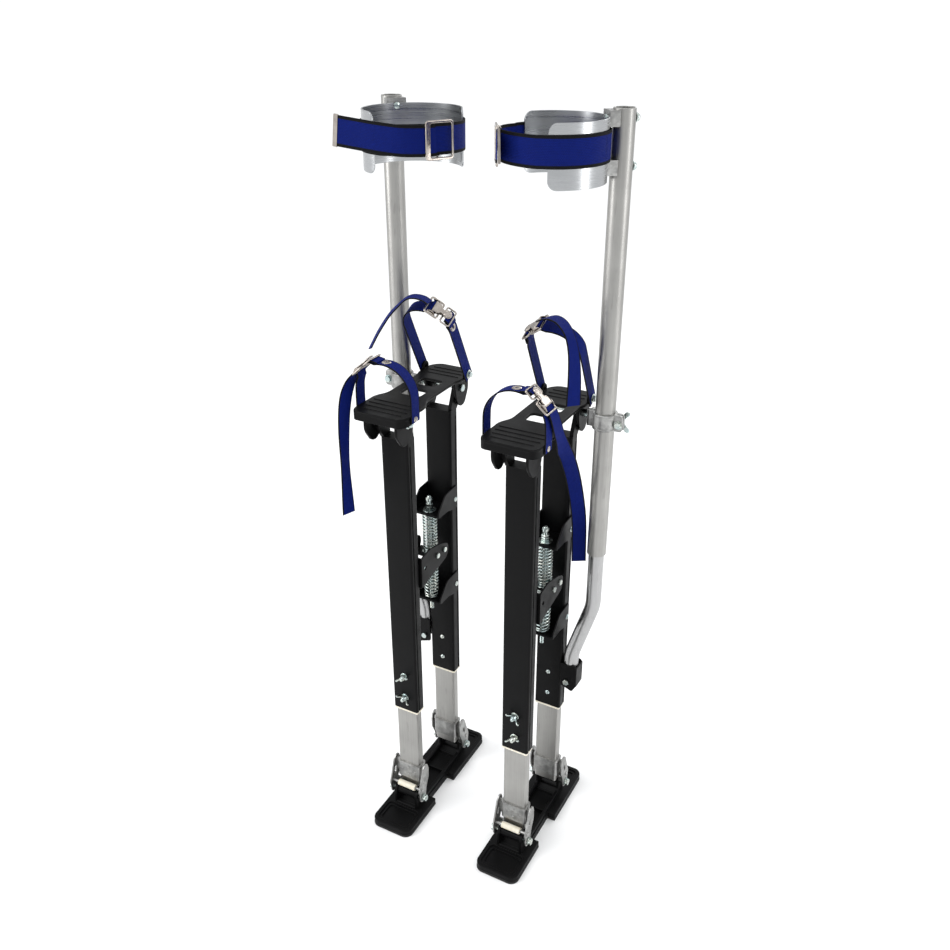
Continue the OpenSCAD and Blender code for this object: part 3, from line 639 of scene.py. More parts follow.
def webbing(name, half_width, edge):
    """Woven polyester strap: ribs across it in staggered columns, and a black selvedge. Its colour
    darkens where the weave sinks, as painted shade.
    """
    g = Graph(name)
    uv = g.add("ShaderNodeSeparateXYZ", {"Vector": g.add("ShaderNodeTexCoord").outputs["UV"]})
    along, across = uv.outputs[0], uv.outputs[1]
    column = g.math("FLOOR", g.math("DIVIDE", across, YARN_PITCH))
    stagger = g.times(column, pi)
    rib = g.math("SINE", g.plus(g.times(along, 2 * pi / RIB_PITCH), stagger))
    yarn = g.math("SINE", g.times(across, 2 * pi / YARN_PITCH))
    weave = g.plus(g.times(rib, 0.6), g.times(yarn, 0.4))
    fuzz = g.noise(520.0, 3.0)
    height = g.plus(weave, g.times(fuzz, 1.6))
    border = g.math("ABSOLUTE", across)
    black = g.remap(border, 0.0, 1.0, half_width - edge - 0.0002, half_width - edge + 0.0002)
    # Colour that follows the weave's height and fuzz, darker low and lighter high: painted shade in
    # the grooves and painted highlight on the ribs.
    painted_weave_shade = g.remap(height, 0.0, 1.0, 0.0, 1.6)
    fade = g.remap(g.noise(35.0, 4.0), 0.0, 0.35)
    blue = g.mix(painted_weave_shade, (0.0006, 0.0022, 0.030), (0.0035, 0.016, 0.21))
    blue = g.mix(fade, blue, (0.002, 0.009, 0.11))
    dark = g.mix(painted_weave_shade, (0.002, 0.002, 0.002), (0.010, 0.010, 0.011))
    g.set(Base_Color=g.mix(black, blue, dark), Roughness=g.remap(height, 0.82, 0.6, 0.0, 1.6),
          Normal=g.bump(height, 0.55, 0.0006), Specular_IOR_Level=0.08)
    return g.material


FOOT_STRAP_W = 25.0
LEG_STRAP_W = 44.0
WEB_T = 2.0

RECIPES = {
    # The black coats' second colour lightens their edges: chipped coat and a painted edge highlight
    # together.
    "black_metal": (painted, (0.0022, 0.0022, 0.0024), (0.05, 0.05, 0.05), 0.4),
    "black_casting": (painted, (0.0024, 0.0024, 0.0026), (0.035, 0.035, 0.035), 0.48, 520.0, 0.3),
    "bare_aluminium": (drawn_metal, (0.38, 0.375, 0.36), 0.4),
    "bright_aluminium": (drawn_metal, (0.44, 0.45, 0.46), 0.27, (6, 6, 520), 0.06),
    "zinc_steel": (galvanised,),
    "zinc_hardware": (plated, (0.42, 0.50, 0.50), (0.55, 0.57, 0.52), 0.24),
    "nickel_plate": (plated, (0.46, 0.42, 0.38), (0.36, 0.32, 0.29), 0.17, 90.0),
    "black_rubber": (rubber,),
    "blue_webbing": (webbing, FOOT_STRAP_W / 2 * MM, 0.0016),
    "cream_nylon": (nylon,),
    "inner_aluminium": (drawn_metal, (0.42, 0.42, 0.42), 0.3, (300, 300, 9), 0.04),
}
MATERIALS = {name: recipe(name, *values) for name, (recipe, *values) in RECIPES.items()}
WIDE_WEBBING = webbing("wide_webbing", LEG_STRAP_W / 2 * MM, 0.0042)
SLOT_OF = {s["node"]: s["material_slot"] for s in frame["record"]["subparts"]}
for node, made in frame["nodes"].items():
    made.data.materials.clear()
    made.data.materials.append(MATERIALS[SLOT_OF[node]])

# ---------- frames that pieces are drawn in ----------

TOE_V, TOE_R, TOE_Z = -100.0, 53.6, 940.4
INSTEP_V, INSTEP_Z, INSTEP_R, INSTEP_H = 92.0, 918.0, 46.6, 108.4
LEAN = radians(27)
TOE_BUCKLE_A, INSTEP_BUCKLE_A = 48.0, 128.0
HINGE_X, HINGE_LIFT = 12.0, 8.4
CALF_V = 5.0
TUBE_U, TUBE_V, TUBE_R, INNER_R = 80.0, 71.0, 17.0, 14.0
LEG_V, STRUT_HALF = 73.5, 13.0
PIVOT_V = 90.0
ENDS = (-1, 1)      # the toe's end and the heel's end, or the inner side and the outer side


def toe_frame(a, lift=0.0):
    """At angle a of the toe strap's arch: x runs along the strap, y across it and z off it."""
    a = radians(a)
    out = Vector((cos(a), 0, sin(a)))
    origin = Vector((0, TOE_V, TOE_Z)) + out * (TOE_R + lift)
    return plane(origin, (sin(a), 0, -cos(a)), BACK)


def instep_frame(a, lift=0.0):
    """The same on the instep strap's arch, whose plane leans forward."""
    a = radians(a)
    rise = Vector((0, -sin(LEAN), cos(LEAN)))
    out = Vector((cos(a), 0, 0)) + rise * sin(a)
    origin = Vector((0, INSTEP_V, INSTEP_Z)) + rise * INSTEP_H + out * (INSTEP_R + lift)
    return plane(origin, Vector((sin(a), 0, 0)) - rise * cos(a), (0, cos(LEAN), sin(LEAN)))


def band_point(a, r, z):
    """A point round the calf."""
    a = radians(a)
    return Vector((r * cos(a), CALF_V + r * sin(a), z))


def band_tangent(a):
    """The direction round the calf at an angle."""
    a = radians(a)
    return (-sin(a), cos(a), 0)


def side_slab(loops, u0, u1, bevel):
    """A plate of (v, z) outlines that reaches from u0 to u1."""
    return slab(loops, u1 - u0, bevel, plane(((u0 + u1) / 2, 0, 0), *SIDE_PLANE))


def front_slab(loops, v0, v1, bevel):
    """A plate of (u, z) outlines that reaches from v0 to v1."""
    return slab(loops, v1 - v0, bevel, plane((0, (v0 + v1) / 2, 0), *FRONT_PLANE))


def floor_slab(loops, z0, z1, bevel):
    """A plate of (u, v) outlines that reaches from z0 to z1."""
    return slab(loops, z1 - z0, bevel, plane((0, 0, (z0 + z1) / 2), *FLOOR_PLANE))


def pair(shape_at):
    """The shape on both sides of the stilt."""
    return join(shape_at(-1), shape_at(1))


# ---------- floor plate ----------

PAD_HW, PAD_END = 45.0, 165.0
WAIST_HW, WAIST_FRONT, WAIST_REAR = 29.0, -55.0, 20.0
PLATE_TOP = 16.0
LUG_R, PAD_R = 12.0, 17.0


def floor_outline(inset):
    """The whole plate from above: two pads and a waist between them."""
    w, e = PAD_HW - inset, PAD_END - inset
    n = WAIST_HW - inset
    corners = [(-w, -e), (w, -e), (w, WAIST_FRONT - inset), (n, WAIST_FRONT - inset),
               (n, WAIST_REAR + inset), (w, WAIST_REAR + inset), (w, e), (-w, e),
               (-w, WAIST_REAR + inset), (-n, WAIST_REAR + inset), (-n, WAIST_FRONT - inset),
               (-w, WAIST_FRONT - inset)]
    radii = [PAD_R - inset if i in (0, 1, 6, 7) else SMALL_R for i in range(len(corners))]
    return square_cornered(corners, radii)


def pad_outline(near, far, inset):
    """The outline of one pad, from its inner edge near to its outer end far."""
    s = 1 if far > near else -1
    w, e, n = PAD_HW - inset, far - s * inset, near + s * inset
    radii = [PAD_R - inset] * 2 + [SMALL_R] * 2
    return square_cornered([(-w, e), (w, e), (w, n), (-w, n)], radii)


def pad(near, far):
    """A pad whose top steps down twice from its rim to a flat tray."""
    s = 1 if far > near else -1
    tray_in, tray_out = s * (PIVOT_V + LUG_R + 4), far - s * 9
    middle, depth = (tray_in + tray_out) / 2, abs(tray_out - tray_in)
    tray = round_rect(72, depth, 9, 0, middle)
    inner = round_rect(61, depth - 11, 6, 0, middle)
    rim = floor_slab([pad_outline(near, far, 0.5), tray], 8.5, PLATE_TOP, 1.3)
    step = floor_slab([grown(tray, 1.5), inner], 7, PLATE_TOP - 2.6, 0.8)
    tray_floor = floor_slab([grown(inner, 2)], 6, PLATE_TOP - 5.2, 0.3)
    return join(rim, step, tray_floor)


def rib_outline():
    """One side wall of the plate, with a lug for each pivot. The points are (v, z)."""
    lug = arc(PIVOT_V, ANKLE_Z, LUG_R, 0, 180, 14)
    half = [(102, 7)] + lug + [(78, 33), (76, 29.5), (71, 27), (40, 25.6), (0, 25)]
    return half + mirrored(half)[1:]


def floor_plate(side):
    """The casting: base, two pads, side walls, ties between them and a boss for each pivot."""
    holes = [circle(e * PIVOT_V, ANKLE_Z, PIVOT_HOLE_R) for e in ENDS]
    ribs = pair(lambda s: side_slab([rib_outline()] + holes, 24 * s - 3, 24 * s + 3, 1.1))
    skirt = pair(lambda s: side_slab([round_rect(80, 10, 1, -17.5, 11)], 27.6 * s - 1.2,
                                     27.6 * s + 1.2, 0.6))
    ties = [side_slab([round_rect(10, 13, 3, e * 98, 13)], -22, 22, 1.0) for e in ENDS]
    ties += [side_slab([round_rect(6, 10, 2, e * 73, 14)], -22, 22, 1.0) for e in ENDS]
    boss = [(PIVOT_HOLE_R, -21.2), (9, -21.2), (9, 21.2), (PIVOT_HOLE_R, 21.2),
            (PIVOT_HOLE_R, -21.2)]
    bosses = [lathe(boss, (0, e * PIVOT_V, ANKLE_Z), OUT) for e in ENDS]
    base = floor_slab([floor_outline(0.5)], SOLE_T, 8.6, 0.8)
    piece(side, "floor_plate_cast", "root", "black_casting", base, pad(WAIST_FRONT, -PAD_END),
          pad(WAIST_REAR, PAD_END), ribs, skirt, *ties, *bosses, replaces=("floor_plate",))


def rubber_soles():
    """Both soles. A groove runs round each one, just under the plate."""
    for side in SIDES:
        body = floor_slab([floor_outline(0.0)], 0, SOLE_T - 0.9, 0.9)
        neck = floor_slab([floor_outline(0.8)], SOLE_T - 1.4, SOLE_T, 0.2)
        piece(side, "rubber_sole", "root", "black_rubber", body, neck)
    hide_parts("rubber_soles")


def pivot_bolt(reach, v, z, head=7.0, washer_r=8.0):
    """A bolt across the stilt with two washers, its head on the outer side and a nut inside."""
    head_in = hex_head((reach + 1.6, v, z), OUT, head, 5.2)
    nut = hex_head((-reach - 1.6, v, z), IN, head, 5.6, 3.4)
    tip = bar((-reach - 9.0, v, z), (-reach - 4.0, v, z), 3.6)
    shank = bar((-reach, v, z), (reach, v, z), BOLT_R)
    washers = pair(lambda s: washer((s * reach, v, z), (s, 0, 0), washer_r, BOLT_R, 1.6))
    return join(head_in, nut, tip, shank, washers)


def floor_bolts():
    """The pivot bolts of both floor plates, which are one CAD node."""
    for side in SIDES:
        bolts = [pivot_bolt(36.4, e * PIVOT_V, ANKLE_Z) for e in ENDS]
        piece(side, "floor_bolts", "root", "zinc_hardware", *bolts)
    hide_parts("floor_pivot_bolts")


# ---------- lower legs ----------


def extruded(outer, inner, z0, z1):
    """A hollow upright on the front leg's axis. Both of its outlines have as many points."""
    rows = [(outer, z0), (outer, z1), (inner, z1), (inner, z0)]
    points = [Vector((x, y - LEG_V, z)) for loop, z in rows for x, y in loop]
    return points, tube_faces(len(rows), len(outer), True), None


BOLT_LOW, BOLT_HIGH = 292, 342.8      # the two clamp bolts of each strut
ROLLER_V, ROLLER_Z = -93, 66


def cut_holes(made, side, rear, holes, r, depth):
    """Drills round holes from the front to the back of a leg tube."""
    profile = [(0, -depth), (r, -depth), (r, depth), (0, depth)]
    points, faces, no_uvs = join(*[lathe(profile, (0, -LEG_V, z), BACK, 24) for z in holes])
    tool = finish_mesh(f"{side}_drill", placed(side, points, rear), faces, no_uvs,
                       MATERIALS["bare_aluminium"], SHARP_ANGLE)
    even = made.modifiers["normals"]
    even.show_viewport = even.show_render = False
    drill = made.modifiers.new("holes", "BOOLEAN")
    drill.object = tool
    drill.operation = "DIFFERENCE"
    drill.solver = "EXACT"
    bpy.context.view_layer.update()
    graph = bpy.context.evaluated_depsgraph_get()
    mesh = bpy.data.meshes.new_from_object(made.evaluated_get(graph))
    made.modifiers.remove(drill)
    mesh.set_sharp_from_angle(angle=radians(SHARP_ANGLE))
    made.data = mesh
    even.show_viewport = even.show_render = True
    bpy.data.objects.remove(tool)


def end_name(rear):
    """The word in the names of pieces and bodies for this end of the stilt."""
    return "rear" if rear else "front"


def lower_leg(side, rear):
    """A leg tube with its row of height holes, its roller and its ankle bracket."""
    which = end_name(rear)
    outer = round_rect(46.8, 18.8, 3.6)
    inner = round_rect(42.8, 14.8, 1.8)
    tube = extruded(outer, inner, 62, 790)
    made = piece(side, f"{which}_leg_tube", f"{which}_leg", "bare_aluminium", tube, rear=rear,
                 replaces=(f"{which}_lower_tube",))
    cut_holes(made, side, rear, [BOLT_LOW + HOLE_PITCH * k for k in range(9)], 4.6, 20)
    roller = lathe([(3.05, -20), (5.7, -20), (6.5, -19.2), (6.5, 19.2), (5.7, 20), (3.05, 20),
                    (3.05, -20)], (0, ROLLER_V, ROLLER_Z), OUT, 36)
    piece(side, f"{which}_roller", f"{which}_leg", "cream_nylon", roller, rear=rear)
    ankle_bracket(side, rear, which)


def ear(s):
    """One side plate of the ankle bracket, with its pivot hole and a slot above it."""
    outline = (arc(-PIVOT_V, ANKLE_Z, 11, 200, 342, 12)
               + [(-76.5, 62), (-66.5, 84), (-65.5, 106), (-70, 120), (-79, 123), (-87, 116),
                  (-97, 86), (-104, 67)])
    holes = [circle(-PIVOT_V, ANKLE_Z, PIVOT_HOLE_R),
             [(v - 84, z + 88) for v, z in turned_loop(round_rect(5.5, 16, 2.6), -12)]]
    return side_slab([rounded_from(outline, 13, 3.0)] + holes, s * 34.5 - 1.5, s * 34.5 + 1.5, 0.55)


def ankle_bracket(side, rear, which):
    """A pressed sleeve round the tube with an ear on each side, a pin, rivets and dimples."""
    outer = round_rect(52.8, 24.8, 5.4)
    inner = round_rect(46.9, 18.9, 3.6)
    sleeve = extruded(outer, inner, 79, 115.4)
    lip = extruded(grown(outer, 0.9), inner, 114.6, 117.6)
    front = -LEG_V - 12.4
    flanges = pair(lambda s: front_slab([round_rect(11, 34, 1.2, s * 30, 98)], front + 7.5,
                                        front + 10.5, 0.5))
    foot = pair(lambda s: front_slab([round_rect(10, 12, 1.2, s * 30, 60)], -80.5, -77.5, 0.5))
    pin = bar((-37.5, ROLLER_V, ROLLER_Z), (37.5, ROLLER_V, ROLLER_Z), 3.0)
    heads = pair(lambda s: lathe([(4.6, 36), (4.6, 37), (3.4, 38), (0, 38)],
                                 (0, ROLLER_V, ROLLER_Z), (s, 0, 0)))
    rivets = [lathe([(3.4, 0), (3.2, 0.9), (2.0, 1.5), (0, 1.7)], (0, front + 0.1, z), FRONT)
              for z in (89, 106)]
    dimples = [lathe([(2.6, 0), (2.2, 0.7), (1.4, 0.9), (0, 0.6)], (u, front + 0.1, z), FRONT)
               for u, z in ((-15, 98), (15, 98))]
    piece(side, f"{which}_bracket", f"{which}_leg", "zinc_steel", sleeve, lip, flanges, foot,
          pair(ear), pin, heads, *rivets, *dimples, rear=rear,
          replaces=(f"{which}_ankle_bracket",))


# ---------- struts ----------


def strut(side, rear):
    """The CAD strut with soft edges, and the nylon liner that shows at its lower end."""
    which = end_name(rear)
    softened(f"{side}_{which}_strut", 0.8)
    outer = round_rect(49.0, 21.0, 3.4)
    inner = round_rect(47.0, 19.0, 3.4)
    liner = extruded(outer, inner, 262, 300)
    lip_outer = [wavy(p) for p in round_rect(53.6, 25.6, 4.2)]
    lip = extruded(lip_outer, round_rect(47.1, 19.1, 3.4), 256.8, 260.9)
    piece(side, f"{which}_liner", f"{which}_upper", "cream_nylon", liner, lip, rear=rear)


def wavy(p):
    """Nylon trimmed by hand: its edge wanders by half a millimetre."""
    k = 1 + 0.011 * sin(p[0] * 0.9) + 0.014 * cos(p[1] * 1.1)
    return (p[0] * k, p[1] * k)


def wing(s, base, tilt):
    """One wing of a wing nut, in the plane of the nut's face."""
    outline = rounded([(2.5, -2.6), (7.5, -2.4), (12.5, 1.0), (15.6, 6.2), (15.2, 9.6),
                       (12.2, 10.2), (9.0, 7.4), (6.0, 3.6), (2.5, 2.8)], 2.0)
    turn = Matrix.Rotation(radians(tilt + (0 if s > 0 else 180)), 4, FRONT)
    upright = plane((0, 0, 0), OUT, FRONT)
    return slab([outline], 3.0, 1.1, Matrix.Translation(base) @ turn @ upright)


def wing_bolt(z, tilt, head_r):
    """A bolt through the strut: a wing nut on its outer face and a domed head behind."""
    face, back = -LEG_V - STRUT_HALF, -LEG_V + STRUT_HALF
    plate = washer((0, face, z), FRONT, 8.0, BOLT_R, 1.5)
    hub = lathe([(BOLT_R, 1.5), (6.2, 1.5), (6.2, 3.2), (5.0, 7.4), (4.4, 8.6), (BOLT_R, 8.8)],
                (0, face, z), FRONT, 24)
    thread = threaded((0, face, z), (0, face - 13.5, z), 3.7)
    wings = join(*[wing(s, (0, face - 3.4, z), tilt) for s in (1, -1)])
    head = lathe([(head_r, 0), (head_r, 0.7), (head_r * 0.83, 2.0), (head_r * 0.47, 2.9),
                  (0, 3.2)], (0, back, z), BACK)
    shank = bar((0, face, z), (0, back, z), 3.8)
    return join(plate, hub, thread, wings, head, shank)


def threaded(start, end, r, pitch=1.25):
    """A bar whose rings stand for its thread, with a chamfered end."""
    start, end = Vector(start), Vector(end)
    length = (end - start).length
    rows, height = [(0, 0), (r, 0)], pitch
    while height < length - 1:
        rows += [(r, height - pitch * 0.5), (r - 0.45, height)]
        height += pitch
    rows += [(r - 0.2, length - 0.8), (r - 0.9, length), (0, length)]
    return lathe(rows, start, end - start, 16)


def wing_bolts(side):
    """The clamp bolts of both struts. Those of the rear strut have smaller heads."""
    places = ((BOLT_LOW, 24), (BOLT_HIGH, -32))
    front = [wing_bolt(z, tilt, 7.2) for z, tilt in places]
    piece(side, "front_wings", "front_upper", "zinc_hardware", *front,
          replaces=("front_wing_bolts",))
    rear = [wing_bolt(z, -tilt, 4.8) for z, tilt in places]
    piece(side, "rear_wings", "rear_upper", "zinc_hardware", *rear, rear=True,
          replaces=("rear_strut_bolts",))


# ---------- spring unit ----------

ROD_V = 24.0
SHELF_HI, SHELF_LO = SPRING_HI[1].z + 0.2, SPRING_LO[0].z - 4.2
TONGUE_TOP, TONGUE_LOW = SPRING_HI[0].z - 2.5, SPRING_LO[1].z + 2.5


def spring_lever(side):
    """Two gussets on the front strut that hold a slotted tongue between the springs."""
    back = -LEG_V + STRUT_HALF
    outline = rounded([(back, 540), (-34, 549), (0, 556), (30, 562), (38, 578), (35, 591),
                       (10, 602), (-30, 611), (back, 606)], 7)
    holes = [circle(-48, 580, 4)]
    gussets = pair(lambda s: side_slab([outline] + holes, s * 30.5 - 1.5, s * 30.5 + 1.5, 0.6))
    rear = front_slab([round_rect(63, 64, 3, 0, 573.5)], back + 0.1, back + 3.4, 0.7)
    slot = round_rect(10, 15, 4.8, 0, ROD_V - 1.5)
    tongue = floor_slab([round_rect(60, 30, 2, 0, ROD_V - 2), slot], TONGUE_LOW, TONGUE_TOP, 0.6)
    piece(side, "lever_plates", "front_upper", "black_metal", gussets, rear, tongue,
          replaces=("spring_lever",))
    bolts = [hex_head((s * 32, v, 584), (s, 0, 0), 5.5, 3.4) for s in ENDS for v in (-5, 21)]
    piece(side, "lever_bolts", "front_upper", "zinc_hardware", *bolts)


def shelf(z):
    """A bracket on the rear strut: a plate that a spring bears on, between two cheeks."""
    front, face = 7.0, LEG_V - STRUT_HALF
    plate = floor_slab([rounded([(-28, front), (28, front), (28, face - 0.2), (-28, face - 0.2)],
                                3), circle(0, ROD_V, 4.2)], z, z + 4, 0.7)
    outline = rounded([(front, z - 0.5), (front, z + 9), (face - 25, z + 38), (face + 18, z + 40),
                       (face + 18, z - 6), (face, z - 6), (face - 20, z - 0.5)], 5)
    hole = circle(face + 10, z + 12, 3.2)
    cheeks = pair(lambda s: side_slab([outline, hole], s * 28.4 - 1.2, s * 28.4 + 1.2, 0.5))
    return join(plate, cheeks)


def strut_brackets(side):
    """Both shelves and the box at the strut's foot that holds the leg tube."""
    outline = rounded([(27.2, 377), (27.2, 325), (52, 316), (60, 330), (60, 371), (56, 377)], 3)
    walls = [front_slab([outline], *span, 0.8) for span in ((56.4, 60.2), (84.0, 87.2))]
    cheek = side_slab([round_rect(30, 44, 2, 72, 351)], 57.4, 60.4, 0.8)
    piece(side, "brackets", "rear_upper", "black_metal", shelf(SHELF_HI), shelf(SHELF_LO), *walls,
          cheek, replaces=("strut_brackets",))
    bolts = [hex_head((40, 56.4, 336), FRONT, 6.5, 4.6),
             hex_head((40, 87.2, 336), BACK, 6.5, 4.6)]
    bolts += [lathe([(5, 0), (4.6, 1.2), (3, 2.2), (0, 2.5)], (s * 29.6, LEG_V - 3, z + 12),
                    (s, 0, 0)) for s in ENDS for z in (SHELF_HI, SHELF_LO)]
    piece(side, "bracket_bolts", "rear_upper", "zinc_hardware", *bolts)


def spring_rod(side):
    """The threaded rod with a washer, two nuts and a knob on top and a nut below."""
    rod = threaded((0, ROD_V, SHELF_LO - 26), (0, ROD_V, SHELF_HI + 34), BOLT_R, 1.5)
    top = SHELF_HI + 4
    parts = [washer((0, ROD_V, top), UP, 13, BOLT_R, 2),
             hex_head((0, ROD_V, top + 2), UP, 7.6, 7, BOLT_R),
             hex_head((0, ROD_V, top + 9.6), UP, 7.6, 5, BOLT_R),
             lathe([(3.6, 0), (6.4, 2), (7.2, 5), (6.4, 8.4), (3.6, 10), (0, 10.6)],
                   (0, ROD_V, top + 18), UP),
             hex_head((0, ROD_V, SHELF_LO - 0.4), DOWN, 7.6, 6.6, BOLT_R)]
    piece(side, "rod", "rear_upper", "zinc_hardware", rod, *parts, replaces=("spring_rod",))


COIL_TURNS, COIL_R, COIL_WIRE_R = 14, 13.0, 1.6


def coil(z0, z1):
    """A compression spring with closed ends."""
    path = []
    steps = COIL_TURNS * 22
    for i in range(steps + 1):
        share = i / steps
        a = 2 * pi * COIL_TURNS * share
        z = z0 + COIL_WIRE_R + coil_lift(share) * (z1 - z0 - 3)
        path.append((COIL_R * cos(a), ROD_V + COIL_R * sin(a), z))
    return wire(path, COIL_WIRE_R)


def coil_lift(share):
    """How high a spring's wire is after a share of its turns: slow at both ends."""
    flat, slope = 0.09, 0.35
    if share < flat:
        return share * slope
    if share > 1 - flat:
        return 1 - (1 - share) * slope
    rise = flat * slope
    return rise + (share - flat) * (1 - 2 * rise) / (1 - 2 * flat)


def springs(side):
    """Each spring stretches between its shelf and the seats that slide with the lever."""
    for name, span, still in (("upper", SPRING_HI, 1), ("lower", SPRING_LO, 0)):
        z0, z1 = span[0].z, span[1].z
        points, faces, uvs = coil(z0, z1)
        made = finish_mesh(f"{side}_{name}_coil", placed(side, points), faces, uvs,
                           MATERIALS["zinc_hardware"], 60)
        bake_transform(made)
        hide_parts(f"{side}_{name}_spring")
    seats = [washer((0, ROD_V, z), UP, 16, 4.08, 2)
             for z in (TONGUE_TOP + 0.3, TONGUE_LOW - 2.3)]
    piece(side, "seats", "spring_seat", "zinc_hardware", *seats, replaces=("spring_seats",))


# ---------- leg tube ----------


def pipe_path():
    """The inner tube's axis: upright, a bend inwards, a slope, a bend back and its foot."""
    bend_r, bend_a, foot_u, bend_z = 100.0, radians(16.7), 43.0, 520.0
    run = (TUBE_U - foot_u) / sin(bend_a)
    half_bend = bend_r * sin(bend_a / 2) / cos(bend_a / 2)
    upper, lower = bend_z + half_bend, bend_z - run * cos(bend_a) - half_bend
    path = [(TUBE_U, TUBE_V, z) for z in (833, 760, 690, 620, 575, 545)]
    steps = 10
    for i in range(steps + 1):
        a = bend_a * i / steps
        path.append((TUBE_U - bend_r * (1 - cos(a)), TUBE_V, upper - bend_r * sin(a)))
    for i in range(steps, -1, -1):
        a = bend_a * i / steps
        path.append((foot_u + bend_r * (1 - cos(a)), TUBE_V, lower + bend_r * sin(a)))
    return path + [(foot_u, TUBE_V, 350)]


def leg_tube(side):
    """The bent inner tube and the straight outer tube that slides over it."""
    piece(side, "inner_tube", "rear_upper", "inner_aluminium", wire(pipe_path(), INNER_R, sides=40),
          replaces=("inner_leg_tube",))
    outer = lathe([(INNER_R + 0.1, 633), (TUBE_R - 0.6, 633), (TUBE_R, 633.6), (TUBE_R, 1383.3),
                   (TUBE_R - 0.7, 1384), (INNER_R + 0.7, 1384), (INNER_R + 0.1, 1383.3),
                   (INNER_R + 0.1, 633)], (TUBE_U, TUBE_V, 0), UP, 48)
    piece(side, "outer_tube", "leg_brace", "bare_aluminium", outer, replaces=("outer_leg_tube",))


CLAMP_Z = 893.0


def tube_clamp(side):
    """A ring round the leg tube, its two jaws with a wing bolt, and the arm to the pivot."""
    h = 14.5
    ring = lathe([(TUBE_R + 0.1, -h), (20.2, -h), (21, -h + 0.8), (21, -h + 3), (20.4, -h + 3.6),
                  (20.4, h - 3.6), (21, h - 3), (21, h - 0.8), (20.2, h), (TUBE_R + 0.1, h),
                  (TUBE_R + 0.1, -h)], (TUBE_U, TUBE_V, CLAMP_Z), UP, 48)
    jaws = [front_slab([round_rect(17, 2 * h, 4, 104, CLAMP_Z)], v0, v1, 0.9)
            for v0, v1 in ((64, 69.4), (72.6, 78))]
    arm = front_slab([round_rect(14, 2 * h, 1.2, 56, CLAMP_Z)], 67, 75, 1.0)
    outline = [(67, CLAMP_Z - h), *arc(PIVOT_V, UPPER_Z, 13, -100, 100, 16), (67, CLAMP_Z + h)]
    plate = side_slab([outline, circle(PIVOT_V, UPPER_Z, PIVOT_HOLE_R)], 49, 53, 0.8)
    piece(side, "clamp", "rear_upper", "zinc_steel", ring, *jaws, arm, plate,
          replaces=("tube_clamp",))
    u, z = 106, CLAMP_Z - 2
    head = hex_head((u, 64, z), FRONT, 6.5, 4.8)
    shank = threaded((u, 64, z), (u, 91, z), 3.0)
    hub = lathe([(3, 0), (6.2, 0), (6.2, 2.0), (5.0, 5.6), (3, 6.2)], (u, 78, z), BACK)
    wings = [clamp_wing(s, (u, 82.5, z)) for s in ENDS]
    cap = washer((u, 63.9, z), FRONT, 7.5, 3, 0.9)
    piece(side, "clamp_bolt", "rear_upper", "zinc_hardware", head, shank, hub, cap, *wings)


def clamp_wing(s, base):
    """A wing of the clamp's nut: an open loop that stands up or down."""
    outline = rounded([(-3.6, 2), (4.2, 2), (8, 8), (13.6, 13.4), (13.4, 18.4), (7.4, 19),
                       (0.4, 11.4)], 2.6)
    flip = Matrix.Diagonal((1, 1, s, 1))
    return slab([outline], 3.0, 1.1,
                Matrix.Translation(base) @ flip @ plane((0, 0, 0), OUT, UP))


# ---------- shoe plate ----------

SHOE_Z = 914.0
PLATE_T = 5.0


def shoe_outline():
    """The shoe plate from above, wide at the toe and narrower behind it."""
    half = [(44, -136), (52, -124), (52, -62), (40, -40), (40, 58), (45, 70), (45, 112),
            (30, 128)]
    return rounded(half + mirrored(half), 9)


def shoe_plate(side):
    """The plate with its front lip, ribs, lugs for the pivots and ears for the instep strap."""
    openings = [round_rect(40, 30, 7, 0, v) for v in (-18, 34)]
    top = floor_slab([shoe_outline()] + openings, SHOE_Z - PLATE_T, SHOE_Z, 1.5)
    half = [(-50, -102), (-50, -120), (-43.5, -132.6), (-30, -134)]
    path = smooth_path([(u, v, 905.5) for u, v in half + [(0, -134)] + mirrored(half)], 4)
    lip = ribbon(path, [UP] * len(path), 15, 3.6)
    ribs = [rib_on_top(*rib) for rib in ((-118, 38), (-104, 42), (-90, 44), (-76, 44),
                                         (78, 34), (92, 34), (106, 32))]
    lugs = pair(shoe_lugs)
    ears = pair(lambda s: side_slab([arc(INSTEP_V, INSTEP_Z, 10, -20, 200, 14)
                                     + [(78, 910), (106, 910)], circle(INSTEP_V, INSTEP_Z, 3)],
                                    s * 43 - 2, s * 43 + 2, 0.8))
    piece(side, "plate", "footrest", "black_metal", top, lip, *ribs, lugs, ears,
          replaces=("shoe_plate",))


def rib_on_top(v, half_width):
    """A low rib that keeps a shoe from sliding."""
    outline = round_rect(2 * half_width, 3.4, 1.6, 0, v)
    return floor_slab([outline], SHOE_Z - 1, SHOE_Z + 1.1, 0.9)


def shoe_lugs(s):
    """The two lugs on one side of the plate, each with the hole of its pivot."""
    front = rounded([(-126, 911), (-126, 876), (-110, 853), (-96, 850), (-78, 864), (-68, 911)], 8)
    rear = rounded([(118, 911), (118, 880), (104, 855), (90, 853), (76, 866), (66, 911)], 8)
    u0, u1 = sorted((s * 28, s * 33))
    return join(*[side_slab([outline, circle(e * PIVOT_V, UPPER_Z, PIVOT_HOLE_R)], u0, u1, 1.0)
                  for e, outline in zip(ENDS, (front, rear))])


